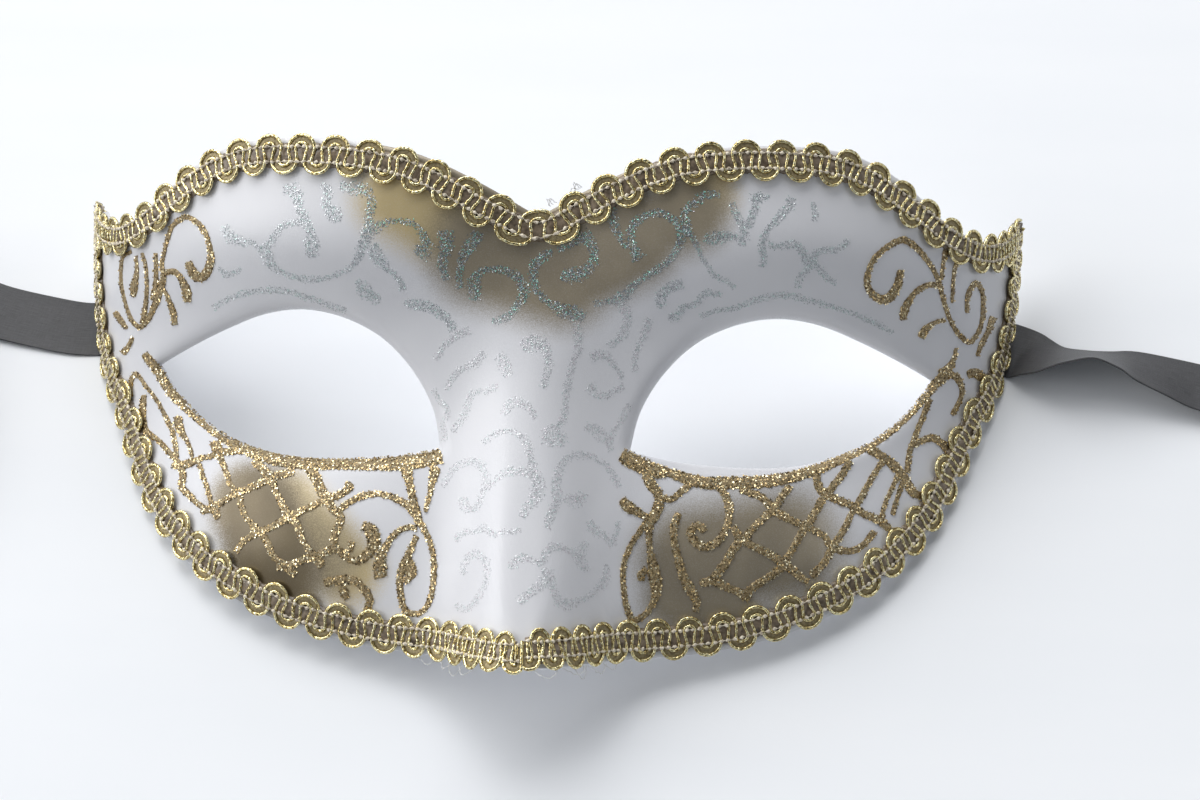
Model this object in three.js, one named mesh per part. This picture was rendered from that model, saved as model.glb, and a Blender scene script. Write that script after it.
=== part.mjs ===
// Half mask of moulded plastic, with a gold gimp braid glued round its rim and a satin ribbon tie on
// each side. It lies face up, resting on its two lower temple corners and its cheek rims.
// Millimetres, +Z up, +X to the right of somebody who looks at the face, +Y away from them.
import * as THREE from 'three';
import { mergeVertices } from 'three/addons/utils/BufferGeometryUtils.js';

// The face is bent round an upright oval cylinder, in its own frame: X right, Y to the brow, Z out.
const HALF_WIDTH = 86;
const BEND_HALF_WIDTH = 88;
const BEND_DEPTH = 62;
const BEND_POWER = 2.4; // 2 would be an ellipse; more is fuller at the temples

// Relief added to the bend. Each rise is a height and each reach a distance over the face.
const NOSE = { top: 18, length: 62, rise: 16.5, growth: 1.25, narrow: 7.5, widening: 4, flatness: 3.4 };
const BROW = { x: 41, y: 27, reachX: 27, reachY: 10, rise: 3.2 };
const BROW_HOLLOW = { x: 0, y: 25, reachX: 16, reachY: 14, rise: -1.8 };
const CHEEK = { x: 42, y: -27, reachX: 21, reachY: 12, rise: 2.8 };
const SOCKET = { x: 42.5, y: 1.5, reachX: 36.5, reachY: 18.2, depth: 3.6, edge: 6 };

// The wall, and the lip rolled inwards round each eye opening.
const WALL = 1.4;
const LIP_TOP = 2.2;
const LIP_BOTTOM = 1.5;
const LIP_DROP = 1.7;
const LIP_DEPTH = 3.3;
const LIP_ROUND = 0.5;

// Turned chin down by this much about X, the mask rests on its temple corners and cheeks.
const LYING_TILT = 33.66;

// The gimp braid is a serpentine cord, drawn here as its scalloped band.
const BRAID_WIDTH = 8.6;
const BRAID_THICKNESS = 1.5;
const BRAID_PITCH = 6.6;
const BRAID_STEPS = 4; // sections in one pitch
const SCALLOP = 0.9;
const RIM_SHOWN = 0.2; // the strip of shell left bare outside the braid
const TIP_SLOPE = 0.7; // mitre where the braid folds round the temple tip
const GLUE_GAP = 0.4;
const BUTT_GAP = 0.4;

// The satin ties. The spare length of each is wound on edge into a coil.
const RIBBON_WIDTH = 12;
const RIBBON_THICKNESS = 0.5;
const COIL_RADIUS = 35;
const TURN_SPACING = 5.2;
const LEFT_TURNS = 1.6;
const RIGHT_TURNS = 1.5;
const LEFT_COIL_MIDDLE = [-146, 8];
const RIGHT_COIL_MIDDLE = [165, -14];
const COIL_SIDES = 48;
const STEPS_BETWEEN_STATIONS = 3;

// Where a tie is glued to the inside of the temple, in the face's frame.
const GLUED_LENGTH = 4.6;
const GLUED_LOW = { x: 82.3, y: 6 };
const GLUED_HIGH = { x: 84.4, y: 18 };
const GLUED_STEPS = 4;

// Rim of the right half, from the bottom of the nose out to the temple tip, then over the brow to
// the notch. The tip and the notch are corners.
const LOWER_RIM = [
  [0, -44.2], [14, -44], [28, -43.2], [41, -40.6], [52.7, -36], [62.1, -30], [69.8, -22],
  [74.6, -13.4], [78.3, -5.2], [82, 2], [84.4, 11], [85.6, 20], [86, 27], [85.8, 33],
];
const UPPER_RIM = [
  [85.8, 33], [82.5, 30], [79, 28.9], [75.5, 29.4], [71.5, 31.6], [66.5, 36], [60, 40.6],
  [52, 43.5], [42, 44.1], [30, 43.3], [20, 41.1], [10, 36.6], [0, 31],
];
// Right eye opening, from its inner corner beside the nose along the lower lid to the outer corner,
// then back along the upper lid.
const LOWER_LID = [
  [16.4, -8.9], [24, -10.5], [35, -11.4], [44, -11.2], [52, -9.4], [59, -6.2], [65, -1.4], [69.3, 4.2],
];
const UPPER_LID = [
  [69.3, 4.2], [63.5, 7.3], [56, 10.8], [48.5, 13.6], [41, 14.5], [33.5, 13], [27, 9.6],
  [21.6, 4.1], [18, -2.2], [16.4, -8.9],
];

// Stations of each tie from under the rim to its coil: x and y of its middle, and how far its near
// edge is tipped up, from 0 flat on the table to 90 standing on its far edge.
const LEFT_TIE = [
  [-80.5, 29, 0], [-84.5, 28.9, 0], [-89, 28.9, 1], [-94.8, 29.9, 2], [-104.8, 32.3, 4],
  [-112, 35.2, 12], [-119, 38.6, 40], [-126.5, 41.8, 72], [-134.2, 43, 90],
];
const RIGHT_TIE = [
  [80.5, 29.2, 0], [84, 28.8, 0], [87.2, 27.6, 1], [90.4, 26, 20], [94.2, 25, 42], [99, 24.8, 50],
  [103.5, 24.2, 43], [107.4, 23.6, 31], [113.5, 21.9, 21], [119.8, 20.1, 12], [128, 18.4, 14],
  [136, 18.2, 38], [144.5, 19.6, 70], [153.2, 21, 90],
];

const rad = THREE.MathUtils.degToRad;
const bell = (u) => Math.exp(-u * u);
const mound = ({ x, y, reachX, reachY, rise }, px, py) => (
  rise * bell((Math.abs(px) - x) / reachX) * bell((py - y) / reachY)
);

function ovalDepth(x) {
  const share = Math.min(0.998, Math.abs(x / BEND_HALF_WIDTH));
  return BEND_DEPTH * (1 - share ** BEND_POWER) ** (1 / BEND_POWER);
}

function noseHeight(x, y) {
  const down = THREE.MathUtils.clamp((NOSE.top - y) / NOSE.length, 0, 1.1);
  const halfWidth = NOSE.narrow + NOSE.widening * down;
  return (NOSE.rise * down ** NOSE.growth) / (1 + Math.abs(x / halfWidth) ** NOSE.flatness);
}

function socketDepth(x, y) {
  const reach = Math.hypot((Math.abs(x) - SOCKET.x) / SOCKET.reachX, (y - SOCKET.y) / SOCKET.reachY);
  return SOCKET.depth / (1 + reach ** SOCKET.edge);
}

// Depth of the front surface at a place on the face.
function faceDepth(x, y) {
  const relief = mound(BROW, x, y) + mound(BROW_HOLLOW, x, y) + mound(CHEEK, x, y);
  return ovalDepth(x) - ovalDepth(HALF_WIDTH) + noseHeight(x, y) + relief - socketDepth(x, y);
}

const SLOPE_STEP = 0.05;

function faceNormal(x, y) {
  const riseX = faceDepth(x + SLOPE_STEP, y) - faceDepth(x - SLOPE_STEP, y);
  const riseY = faceDepth(x, y + SLOPE_STEP) - faceDepth(x, y - SLOPE_STEP);
  return new THREE.Vector3(-riseX, -riseY, 2 * SLOPE_STEP).normalize();
}

function facePoint(x, y, lift = 0) {
  return new THREE.Vector3(x, y, faceDepth(x, y)).addScaledVector(faceNormal(x, y), lift);
}

// The face is steep at the temples, so outlines are spaced and blended over the unrolled bend.
const toUnrolled = (x) => Math.asin(x / BEND_HALF_WIDTH) * BEND_HALF_WIDTH;
const fromUnrolled = (u) => Math.sin(u / BEND_HALF_WIDTH) * BEND_HALF_WIDTH;

function unrolledCurve(points) {
  const flat = points.map(([x, y]) => new THREE.Vector3(toUnrolled(x), y, 0));
  return new THREE.CatmullRomCurve3(flat, false, 'centripetal');
}

const lowerRim = unrolledCurve(LOWER_RIM);
const upperRim = unrolledCurve(UPPER_RIM);
const lowerLid = unrolledCurve(LOWER_LID);
const upperLid = unrolledCurve(UPPER_LID);
const noseLine = unrolledCurve([UPPER_RIM.at(-1), LOWER_RIM[0]]);

// Each stretch of the half's outline faces a stretch of the eye opening: curve, start and end share.
const STRETCHES = [
  { rim: [lowerRim, 0, 0.27], lid: [lowerLid, 0, 0.36], cells: 9 },
  { rim: [lowerRim, 0.27, 0.62], lid: [lowerLid, 0.36, 0.82], cells: 10 },
  { rim: [lowerRim, 0.62, 0.88], lid: [lowerLid, 0.82, 1], cells: 7 },
  { rim: [lowerRim, 0.88, 1], lid: [upperLid, 0, 0.09], cells: 4 },
  { rim: [upperRim, 0, 0.25], lid: [upperLid, 0.09, 0.24], cells: 6 },
  { rim: [upperRim, 0.25, 0.74], lid: [upperLid, 0.24, 0.68], cells: 12 },
  { rim: [upperRim, 0.74, 1], lid: [upperLid, 0.68, 0.8], cells: 7 },
  { rim: [noseLine, 0, 1], lid: [upperLid, 0.8, 1], cells: 13 },
];

function pairsRoundHalf() {
  const pairs = [];
  for (const { rim, lid, cells } of STRETCHES) {
    for (let i = 0; i < cells; i += 1) {
      const onRim = rim[0].getPointAt(THREE.MathUtils.lerp(rim[1], rim[2], i / cells));
      const onLid = lid[0].getPointAt(THREE.MathUtils.lerp(lid[1], lid[2], i / cells));
      pairs.push({ rim: onRim, lid: onLid, onNoseLine: rim[0] === noseLine });
    }
  }
  return pairs;
}

// Way out of the eye opening at one of its points, in the (x, y) plane.
function lidOutward(pairs, i) {
  const before = pairs[(i + pairs.length - 1) % pairs.length].lid;
  const after = pairs[(i + 1) % pairs.length].lid;
  const along = new THREE.Vector2(fromUnrolled(after.x) - fromUnrolled(before.x), after.y - before.y);
  return new THREE.Vector2(along.y, -along.x).normalize();
}

const BANDS = 8;
const BAND_GROWTH = 1.1;

// Rings of points round the half: over the front from lip to rim, back behind, then round the lip.
function shellRings(pairs) {
  const front = [];
  for (let band = 0; band <= BANDS; band += 1) {
    front.push(pairs.map(({ rim, lid }, i) => {
      const out = lidOutward(pairs, i);
      const width = THREE.MathUtils.mapLinear(out.y, -1, 1, LIP_BOTTOM, LIP_TOP);
      const creaseX = toUnrolled(fromUnrolled(lid.x) + out.x * width);
      const crease = new THREE.Vector3(creaseX, lid.y + out.y * width, 0);
      const spot = crease.lerp(rim, (band / BANDS) ** BAND_GROWTH);
      return [fromUnrolled(spot.x), spot.y];
    }));
  }
  const lipRing = (outward, drop) => pairs.map(({ lid }, i) => {
    const out = lidOutward(pairs, i);
    const x = fromUnrolled(lid.x) + out.x * outward;
    const y = lid.y + out.y * outward;
    return new THREE.Vector3(x, y, faceDepth(x, y) - drop);
  });
  return [
    ...front.map((ring) => ring.map(([x, y]) => facePoint(x, y))),
    ...[...front].reverse().map((ring) => ring.map(([x, y]) => facePoint(x, y, -WALL))),
    lipRing(0.3, LIP_DEPTH),
    lipRing(0, LIP_DEPTH - LIP_ROUND),
    lipRing(0, LIP_DROP),
    lipRing(LIP_ROUND + 0.3, LIP_DROP * 0.35),
  ];
}

function closedGeometry(positions) {
  const loose = new THREE.BufferGeometry();
  loose.setAttribute('position', new THREE.Float32BufferAttribute(positions, 3));
  return mergeVertices(loose, 1e-3);
}

function shellGeometry() {
  const pairs = pairsRoundHalf();
  const rings = shellRings(pairs);
  const positions = [];
  const triangle = (a, b, c) => positions.push(...a.toArray(), ...b.toArray(), ...c.toArray());
  const mirrored = (p) => new THREE.Vector3(-p.x, p.y, p.z);
  rings.forEach((here, r) => {
    const next = rings[(r + 1) % rings.length];
    pairs.forEach(({ onNoseLine }, i) => {
      if (r === BANDS && onNoseLine) return; // the halves join here, so there is no rim face
      const j = (i + 1) % pairs.length;
      triangle(here[i], next[i], next[j]);
      triangle(here[i], next[j], here[j]);
      triangle(mirrored(here[i]), mirrored(next[j]), mirrored(next[i]));
      triangle(mirrored(here[i]), mirrored(here[j]), mirrored(next[j]));
    });
  });
  return closedGeometry(positions);
}

// Closed strip through rings of four points that run counter-clockwise, looking along the strip.
// Its two wide faces are split along the same diagonal, so a twist keeps its thickness.
function stripGeometry(rings) {
  const positions = [];
  const triangle = (a, b, c) => positions.push(...a.toArray(), ...b.toArray(), ...c.toArray());
  for (let i = 0; i + 1 < rings.length; i += 1) {
    const a = rings[i];
    const b = rings[i + 1];
    for (let k = 0; k < 4; k += 1) {
      const n = (k + 1) % 4;
      if (k < 2) {
        triangle(a[k], b[k], b[n]);
        triangle(a[k], b[n], a[n]);
      } else {
        triangle(a[k], b[k], a[n]);
        triangle(b[k], b[n], a[n]);
      }
    }
  }
  const first = rings[0];
  const [p, q, r, s] = rings.at(-1);
  triangle(first[0], first[1], first[2]);
  triangle(first[0], first[2], first[3]);
  triangle(p, r, q);
  triangle(p, s, r);
  return closedGeometry(positions);
}

const RIM_SAMPLES = 400;

// Evenly spaced places along the rim of the right half, from the bottom of the nose to the notch,
// each with the way inwards over the face and its distance from the temple tip.
function rimPlaces(spacing) {
  const fine = [lowerRim, upperRim].flatMap((curve) => (
    curve.getSpacedPoints(RIM_SAMPLES).map((p) => facePoint(fromUnrolled(p.x), p.y))
  ));
  const length = [0];
  for (let i = 1; i < fine.length; i += 1) length.push(length[i - 1] + fine[i].distanceTo(fine[i - 1]));
  const total = length.at(-1);
  const tip = length[RIM_SAMPLES + 1];
  const at = (s) => {
    const i = Math.max(1, length.findIndex((l) => l >= s - 1e-9));
    const share = (s - length[i - 1]) / Math.max(1e-9, length[i] - length[i - 1]);
    return fine[i - 1].clone().lerp(fine[i], share);
  };
  const count = Math.round(total / spacing);
  const places = [];
  for (let k = 0; k <= count; k += 1) {
    const s = (total * k) / count;
    const point = at(s);
    const reach = spacing / 4;
    const along = at(Math.min(total, s + reach)).sub(at(Math.max(0, s - reach))).normalize();
    if (k === 0) along.set(1, 0, 0);
    if (k === count) along.set(-1, 0, 0);
    const inward = faceNormal(point.x, point.y).cross(along).normalize();
    places.push({ s, point, inward, fromTip: Math.abs(s - tip) });
  }
  return { places, total };
}

const WALK_STEPS = 4;

// Walks a distance over the face from a place on it, then lifts off it.
function overFace(start, direction, distance, lift) {
  const spot = start.clone();
  for (let i = 0; i < WALK_STEPS; i += 1) {
    spot.addScaledVector(direction, distance / WALK_STEPS);
    const normal = faceNormal(spot.x, spot.y);
    spot.addScaledVector(normal, (faceDepth(spot.x, spot.y) - spot.z) * normal.z);
  }
  return facePoint(spot.x, spot.y, lift);
}

function braidGeometry() {
  const { places, total } = rimPlaces(BRAID_PITCH / BRAID_STEPS);
  const waves = Math.round(total / BRAID_PITCH);
  const low = GLUE_GAP;
  const high = GLUE_GAP + BRAID_THICKNESS;
  const half = places.map(({ s, point, inward, fromTip }) => {
    const swing = 0.5 * Math.cos(2 * Math.PI * waves * (1 - s / total));
    const outer = RIM_SHOWN + SCALLOP * (0.5 - swing);
    const scalloped = BRAID_WIDTH - SCALLOP * (0.5 + swing);
    const inner = Math.max(outer + 0.5, Math.min(scalloped, fromTip * TIP_SLOPE - 0.15));
    return [
      overFace(point, inward, outer, low), overFace(point, inward, outer, high),
      overFace(point, inward, inner, high), overFace(point, inward, inner, low),
    ];
  });
  half[0].forEach((p) => p.setX(BUTT_GAP / 2)); // the strip's two ends butt under the nose
  const other = half.slice(0, -1).map((ring) => ring.map((p) => new THREE.Vector3(-p.x, p.y, p.z)));
  return stripGeometry([...half, ...other.reverse()]);
}

function tieGeometry(stations) {
  const halfWidth = RIBBON_WIDTH / 2;
  const halfThickness = RIBBON_THICKNESS / 2;
  const liftOf = (tip) => halfWidth * Math.sin(tip) + halfThickness * Math.cos(tip);
  const middles = stations.map(([x, y, tip]) => new THREE.Vector3(x, y, liftOf(rad(tip))));
  const route = new THREE.CatmullRomCurve3(middles, false, 'catmullrom');
  const tips = new THREE.SplineCurve(stations.map(([, , tip], i) => new THREE.Vector2(i, rad(tip))));
  const steps = (stations.length - 1) * STEPS_BETWEEN_STATIONS;
  const rings = [];
  for (let i = 0; i <= steps; i += 1) {
    const tip = Math.max(0, tips.getPoint(i / steps).y);
    const along = route.getTangent(i / steps);
    const near = new THREE.Vector3(along.y, -along.x, 0).normalize();
    if (near.y > 0) near.negate();
    const across = near.multiplyScalar(Math.cos(tip)).setZ(Math.sin(tip));
    const through = along.cross(across).normalize();
    const middle = route.getPoint(i / steps);
    middle.z = Math.abs(across.z) * halfWidth + Math.abs(through.z) * halfThickness;
    rings.push([[-1, -1], [-1, 1], [1, 1], [1, -1]].map(([a, b]) => middle.clone()
      .addScaledVector(across, a * halfWidth).addScaledVector(through, b * halfThickness)));
  }
  return stripGeometry(rings);
}

function coilGeometry(turns) {
  const outer = COIL_RADIUS + RIBBON_THICKNESS / 2;
  const inner = COIL_RADIUS - TURN_SPACING * turns - RIBBON_THICKNESS / 2;
  const section = [[inner, 0], [outer, 0], [outer, RIBBON_WIDTH], [inner, RIBBON_WIDTH], [inner, 0]];
  const ring = new THREE.LatheGeometry(section.map(([r, z]) => new THREE.Vector2(r, z)), COIL_SIDES);
  return ring.rotateX(Math.PI / 2);
}

function gluedEndGeometry(side) {
  const near = -WALL - GLUE_GAP;
  const far = near - RIBBON_THICKNESS;
  const onInside = (corner, inwards, lift) => {
    const point = facePoint(corner.x - inwards, corner.y, lift);
    point.x *= side;
    return point;
  };
  const rings = [];
  for (let i = 0; i <= GLUED_STEPS; i += 1) {
    const inwards = (GLUED_LENGTH * i) / GLUED_STEPS;
    const ring = [
      onInside(GLUED_LOW, inwards, near), onInside(GLUED_HIGH, inwards, near),
      onInside(GLUED_HIGH, inwards, far), onInside(GLUED_LOW, inwards, far),
    ];
    rings.push(side > 0 ? ring.reverse() : ring);
  }
  return stripGeometry(rings);
}

const shellMaterial = new THREE.MeshStandardMaterial({ color: 0xe9e8ec, roughness: 0.45, metalness: 0 });
const braidMaterial = new THREE.MeshStandardMaterial({ color: 0xb59a4c, roughness: 0.35, metalness: 0.9 });
const ribbonMaterial = new THREE.MeshStandardMaterial({ color: 0x2b2b2e, roughness: 0.5, metalness: 0 });

function named(name, geometry, material) {
  const mesh = new THREE.Mesh(geometry, material);
  mesh.name = name;
  return mesh;
}

const face = new THREE.Group();
face.add(named('mask_shell', shellGeometry(), shellMaterial));
face.add(named('gimp_braid', braidGeometry(), braidMaterial));
face.rotation.x = rad(LYING_TILT);

// The origin is on the table, under the middle of the mask without its ties.
const mask = new THREE.Group();
mask.add(face);
mask.updateMatrixWorld(true);
const maskBox = new THREE.Box3().setFromObject(mask, true);
const maskMiddle = maskBox.getCenter(new THREE.Vector3());
face.position.set(-maskMiddle.x, -maskMiddle.y, -maskBox.min.z);

function addTie(name, side, stations, turns, coilMiddle) {
  face.add(named(`${name}_glued_end`, gluedEndGeometry(side), ribbonMaterial));
  mask.add(named(name, tieGeometry(stations), ribbonMaterial));
  const coil = named(`${name}_coil`, coilGeometry(turns), ribbonMaterial);
  coil.position.set(coilMiddle[0], coilMiddle[1], 0);
  mask.add(coil);
}

addTie('ribbon_left', -1, LEFT_TIE, LEFT_TURNS, LEFT_COIL_MIDDLE);
addTie('ribbon_right', 1, RIGHT_TIE, RIGHT_TURNS, RIGHT_COIL_MIDDLE);

export default mask;
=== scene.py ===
# %% [markdown]
# A masquerade half mask, lying face up on a pale table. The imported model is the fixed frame: it says
# where each piece is and how big it is. This script dresses it: paint, glitter, gold braid and satin.

# %% Load the frame
import math
import random

import bmesh
import bpy
from mathutils import Matrix, Vector
from mathutils.bvhtree import BVHTree


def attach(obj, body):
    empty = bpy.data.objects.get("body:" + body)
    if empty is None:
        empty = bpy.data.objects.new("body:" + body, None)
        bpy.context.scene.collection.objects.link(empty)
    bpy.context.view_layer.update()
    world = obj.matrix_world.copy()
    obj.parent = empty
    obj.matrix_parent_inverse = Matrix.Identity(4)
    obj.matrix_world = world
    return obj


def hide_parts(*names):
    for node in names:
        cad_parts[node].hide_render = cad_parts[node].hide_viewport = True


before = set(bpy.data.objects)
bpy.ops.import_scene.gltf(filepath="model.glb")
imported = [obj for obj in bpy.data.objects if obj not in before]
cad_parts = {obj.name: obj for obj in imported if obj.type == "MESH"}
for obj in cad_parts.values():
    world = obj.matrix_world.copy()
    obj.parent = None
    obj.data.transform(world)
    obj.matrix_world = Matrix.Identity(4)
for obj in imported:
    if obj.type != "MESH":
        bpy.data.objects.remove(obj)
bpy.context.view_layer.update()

MM = 0.001

# %% [markdown]
# Operators work on what is selected, and the frame arrives selected. So each step first selects only
# its own piece. Smooth shading is set on the finished piece, and its place stays in its mesh.

# %% Small helpers
def only(*pieces):
    bpy.ops.object.select_all(action="DESELECT")
    for piece in pieces:
        piece.select_set(True)
    bpy.context.view_layer.objects.active = pieces[-1]


def piece_from(name, points, faces):
    mesh = bpy.data.meshes.new(name)
    mesh.from_pydata([tuple(p) for p in points], [], faces)
    mesh.update()
    piece = bpy.data.objects.new(name, mesh)
    bpy.context.scene.collection.objects.link(piece)
    return piece


def apply_modifier(piece, kind, **settings):
    only(piece)
    modifier = piece.modifiers.new(kind.title(), kind)
    for key, value in settings.items():
        setattr(modifier, key, value)
    bpy.ops.object.modifier_apply(modifier=modifier.name)


def smooth(piece, angle):
    only(piece)
    bpy.ops.object.shade_smooth_by_angle(angle=math.radians(angle))


def on_root(piece, slot, *nodes):
    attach(piece, "root")
    if nodes:
        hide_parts(*nodes)
    return piece


# %% [markdown]
# The camera comes first. The ties' stations were measured against what it sees. The photograph was
# taken from above the nose with a short telephoto lens, held a few degrees off level.

# %% Camera
CAMERA_PLACE = Vector((30.9, -236.2, 392.9)) * MM
CAMERA_TARGET = Vector((11.3, -3.3, 29.5)) * MM
CAMERA_ROLL = math.radians(2.79)
LENS = 50.0
SENSOR_WIDTH = 23.6
PHOTO_SIZE = (1200, 800)

forward = (CAMERA_TARGET - CAMERA_PLACE).normalized()
level_right = forward.cross(Vector((0, 0, 1))).normalized()
level_up = level_right.cross(forward)
camera_right = level_right * math.cos(CAMERA_ROLL) - level_up * math.sin(CAMERA_ROLL)
camera_up = level_up * math.cos(CAMERA_ROLL) + level_right * math.sin(CAMERA_ROLL)

camera_data = bpy.data.cameras.new("camera")
camera_data.lens = LENS
camera_data.sensor_width = SENSOR_WIDTH
camera = bpy.data.objects.new("camera", camera_data)
camera.matrix_world = Matrix((camera_right, camera_up, -forward)).transposed().to_4x4()
camera.matrix_world.translation = CAMERA_PLACE
bpy.context.scene.collection.objects.link(camera)
bpy.context.scene.camera = camera

FOCAL_PX = LENS / SENSOR_WIDTH * PHOTO_SIZE[0]
print("camera:", round((CAMERA_TARGET - CAMERA_PLACE).length / MM), "mm from what it looks at")


def ray_through(px, py):
    across = (px - PHOTO_SIZE[0] / 2) / FOCAL_PX
    above = (PHOTO_SIZE[1] / 2 - py) / FOCAL_PX
    return (forward + camera_right * across + camera_up * above).normalized()


def pixel_of(point):
    off = point - CAMERA_PLACE
    depth = off.dot(forward)
    return (PHOTO_SIZE[0] / 2 + FOCAL_PX * off.dot(camera_right) / depth,
            PHOTO_SIZE[1] / 2 - FOCAL_PX * off.dot(camera_up) / depth)


# %% [markdown]
# Each tie is one 380 mm length of 12 mm satin ribbon. It leaves from under the temple's rim, lies on
# the table as photographed, then turns on edge and winds into a round coil outside the view. The
# stations are those of the solids: x and y of the ribbon's middle in millimetres, and how far its near
# edge is tipped up. A smooth curve through them gives the middle line, and a loop winds the coil.

# %% Routes of the two ties
RIBBON_WIDTH = 12 * MM
RIBBON_THICKNESS = 0.26 * MM
COIL_RADIUS = 35.0
TURN_SPACING = 5.2
STEPS_BETWEEN_STATIONS = 5
STEPS_PER_TURN = 60

LEFT_STATIONS = [
    (-80.5, 29, 0), (-84.5, 28.9, 0), (-89, 28.9, 1), (-94.8, 29.9, 2), (-104.8, 32.3, 4),
    (-112, 35.2, 12), (-119, 38.6, 40), (-126.5, 41.8, 72), (-134.2, 43, 90),
]
RIGHT_STATIONS = [
    (80.5, 29.2, 0), (84, 28.8, 0), (87.2, 27.6, 1), (90.4, 26, 20), (94.2, 25, 42), (99, 24.8, 50),
    (103.5, 24.2, 43), (107.4, 23.6, 31), (113.5, 21.9, 21), (119.8, 20.1, 12), (128, 18.4, 14),
    (136, 18.2, 38), (144.5, 19.6, 70), (153.2, 21, 90),
]
LEFT_COIL = {"middle": (-146, 8), "turns": 1.6, "way": 1}
RIGHT_COIL = {"middle": (165, -14), "turns": 1.5, "way": -1}


def spline(rows, t):
    """Catmull-Rom through rows of numbers, at t from 0 to len(rows) - 1."""
    i = min(int(t), len(rows) - 2)
    u = t - i
    a, b, c, d = (rows[min(max(k, 0), len(rows) - 1)] for k in (i - 1, i, i + 1, i + 2))
    return [
        0.5 * (2 * q + (r - p) * u + (2 * p - 5 * q + 4 * r - s) * u * u
               + (3 * q - p - 3 * r + s) * u ** 3)
        for p, q, r, s in zip(a, b, c, d)
    ]


def tie_route(stations, coil):
    """Middle points of a tie in metres, and how far it is tipped up at each, in radians."""
    middles, tips = [], []
    half = RIBBON_WIDTH / MM / 2
    steps = (len(stations) - 1) * STEPS_BETWEEN_STATIONS
    for i in range(steps + 1):
        x, y, tip = spline(stations, i / STEPS_BETWEEN_STATIONS)
        tip = math.radians(min(max(tip, 0), 90))
        lift = half * math.sin(tip) + 0.5 * RIBBON_THICKNESS / MM * math.cos(tip)
        middles.append(Vector((x, y, lift)) * MM)
        tips.append(tip)
    for i in range(1, round(coil["turns"] * STEPS_PER_TURN) + 1):
        turned = 2 * math.pi * i / STEPS_PER_TURN
        angle = math.pi / 2 + coil["way"] * turned
        radius = COIL_RADIUS - TURN_SPACING * i / STEPS_PER_TURN
        x = coil["middle"][0] + radius * math.cos(angle)
        y = coil["middle"][1] + radius * math.sin(angle)
        middles.append(Vector((x, y, half)) * MM)
        tips.append(math.pi / 2)
    return middles, tips


def length_of(points):
    return sum((b - a).length for a, b in zip(points, points[1:]))


# %% [markdown]
# Satin ribbon is woven flat, with a firmer selvedge along each edge. The strip's section is a thin
# rectangle with a slightly thicker bead at both edges. Its UV map runs along and across the ribbon in
# millimetres, so that the weave in the material follows every bend.

# %% The ribbon's strip
RIBBON_SECTION = [(-1, 0.0), (-0.985, 0.62), (-0.955, 0.62), (-0.92, 0.5), (-0.46, 0.5), (0, 0.5),
                  (0.46, 0.5), (0.92, 0.5), (0.955, 0.62), (0.985, 0.62), (1, 0.0)]
RIBBON_SMOOTHING = 50


def closed_piece(name, points, faces, smoothing):
    """A closed mesh with all its faces turned outwards, shaded smooth up to an angle."""
    piece = piece_from(name, points, faces)
    only(piece)
    bpy.ops.object.mode_set(mode="EDIT")
    bpy.ops.mesh.select_all(action="SELECT")
    bpy.ops.mesh.normals_make_consistent(inside=False)
    bpy.ops.object.mode_set(mode="OBJECT")
    smooth(piece, smoothing)
    return piece


def ribbon_strip(name, middles, tips):
    outline = RIBBON_SECTION + [(a, -h) for a, h in RIBBON_SECTION[-2:0:-1]]
    points, distance = [], [0.0]
    for i, middle in enumerate(middles):
        before, after = middles[max(i - 1, 0)], middles[min(i + 1, len(middles) - 1)]
        along = (after - before).normalized()
        near = Vector((along.y, -along.x, 0)).normalized()
        if i == 0 and near.y > 0:
            near.negate()
        if i and near.dot(last_near) < 0:
            near.negate()
        last_near = near
        across = near * math.cos(tips[i]) + Vector((0, 0, math.sin(tips[i])))
        through = along.cross(across).normalized()
        if i:
            distance.append(distance[-1] + (middle - middles[i - 1]).length)
        for a, h in outline:
            points.append(middle + across * (a * RIBBON_WIDTH / 2) + through * (h * RIBBON_THICKNESS))
    count = len(outline)
    faces = []
    for i in range(len(middles) - 1):
        for k in range(count):
            n = (k + 1) % count
            faces.append((i * count + k, (i + 1) * count + k, (i + 1) * count + n, i * count + n))
    faces.append(tuple(range(count)))
    faces.append(tuple(range(len(points) - 1, len(points) - 1 - count, -1)))
    piece = closed_piece(name, points, faces, RIBBON_SMOOTHING)
    uv = piece.data.uv_layers.new(name="weave")
    for loop in piece.data.loops:
        row, k = divmod(loop.vertex_index, count)
        uv.data[loop.index].uv = (distance[row] / MM, outline[k][0] * RIBBON_WIDTH / 2 / MM)
    return piece


TIES = {
    "left": (LEFT_STATIONS, LEFT_COIL, Vector((-86, 28.9, 0.3)) * MM),
    "right": (RIGHT_STATIONS, RIGHT_COIL, Vector((86, 28, 0.3)) * MM),
}
ties = {}
for side, (stations, coil, exit_point) in TIES.items():
    middles, tips = tie_route(stations, coil)
    tie = ribbon_strip(f"satin_tie_{side}", middles, tips)
    on_root(tie, "satin_ribbon", f"ribbon_{side}", f"ribbon_{side}_coil")
    ties[side] = tie
    print(side, "tie is", round(length_of(middles) / MM), "mm long")

# %% [markdown]
# The shell is one moulded skin. A copy of its solid is merged, its triangles are joined to quads, and
# the sharp edges of the rim and of the eye lips are creased. Two levels of subdivision then turn the
# facets into the smooth skin of a moulding, while the creased edges keep a small radius.

# %% Shell
MERGE_DISTANCE = 0.01 * MM
RIM_ANGLE = math.radians(65)
RIM_CREASE = 0.72
FLATNESS_OF_PAIRS = math.radians(50)
SQUARENESS_OF_PAIRS = math.radians(60)
SUBDIVISIONS = 2
SHELL_SMOOTHING = 60


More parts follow.
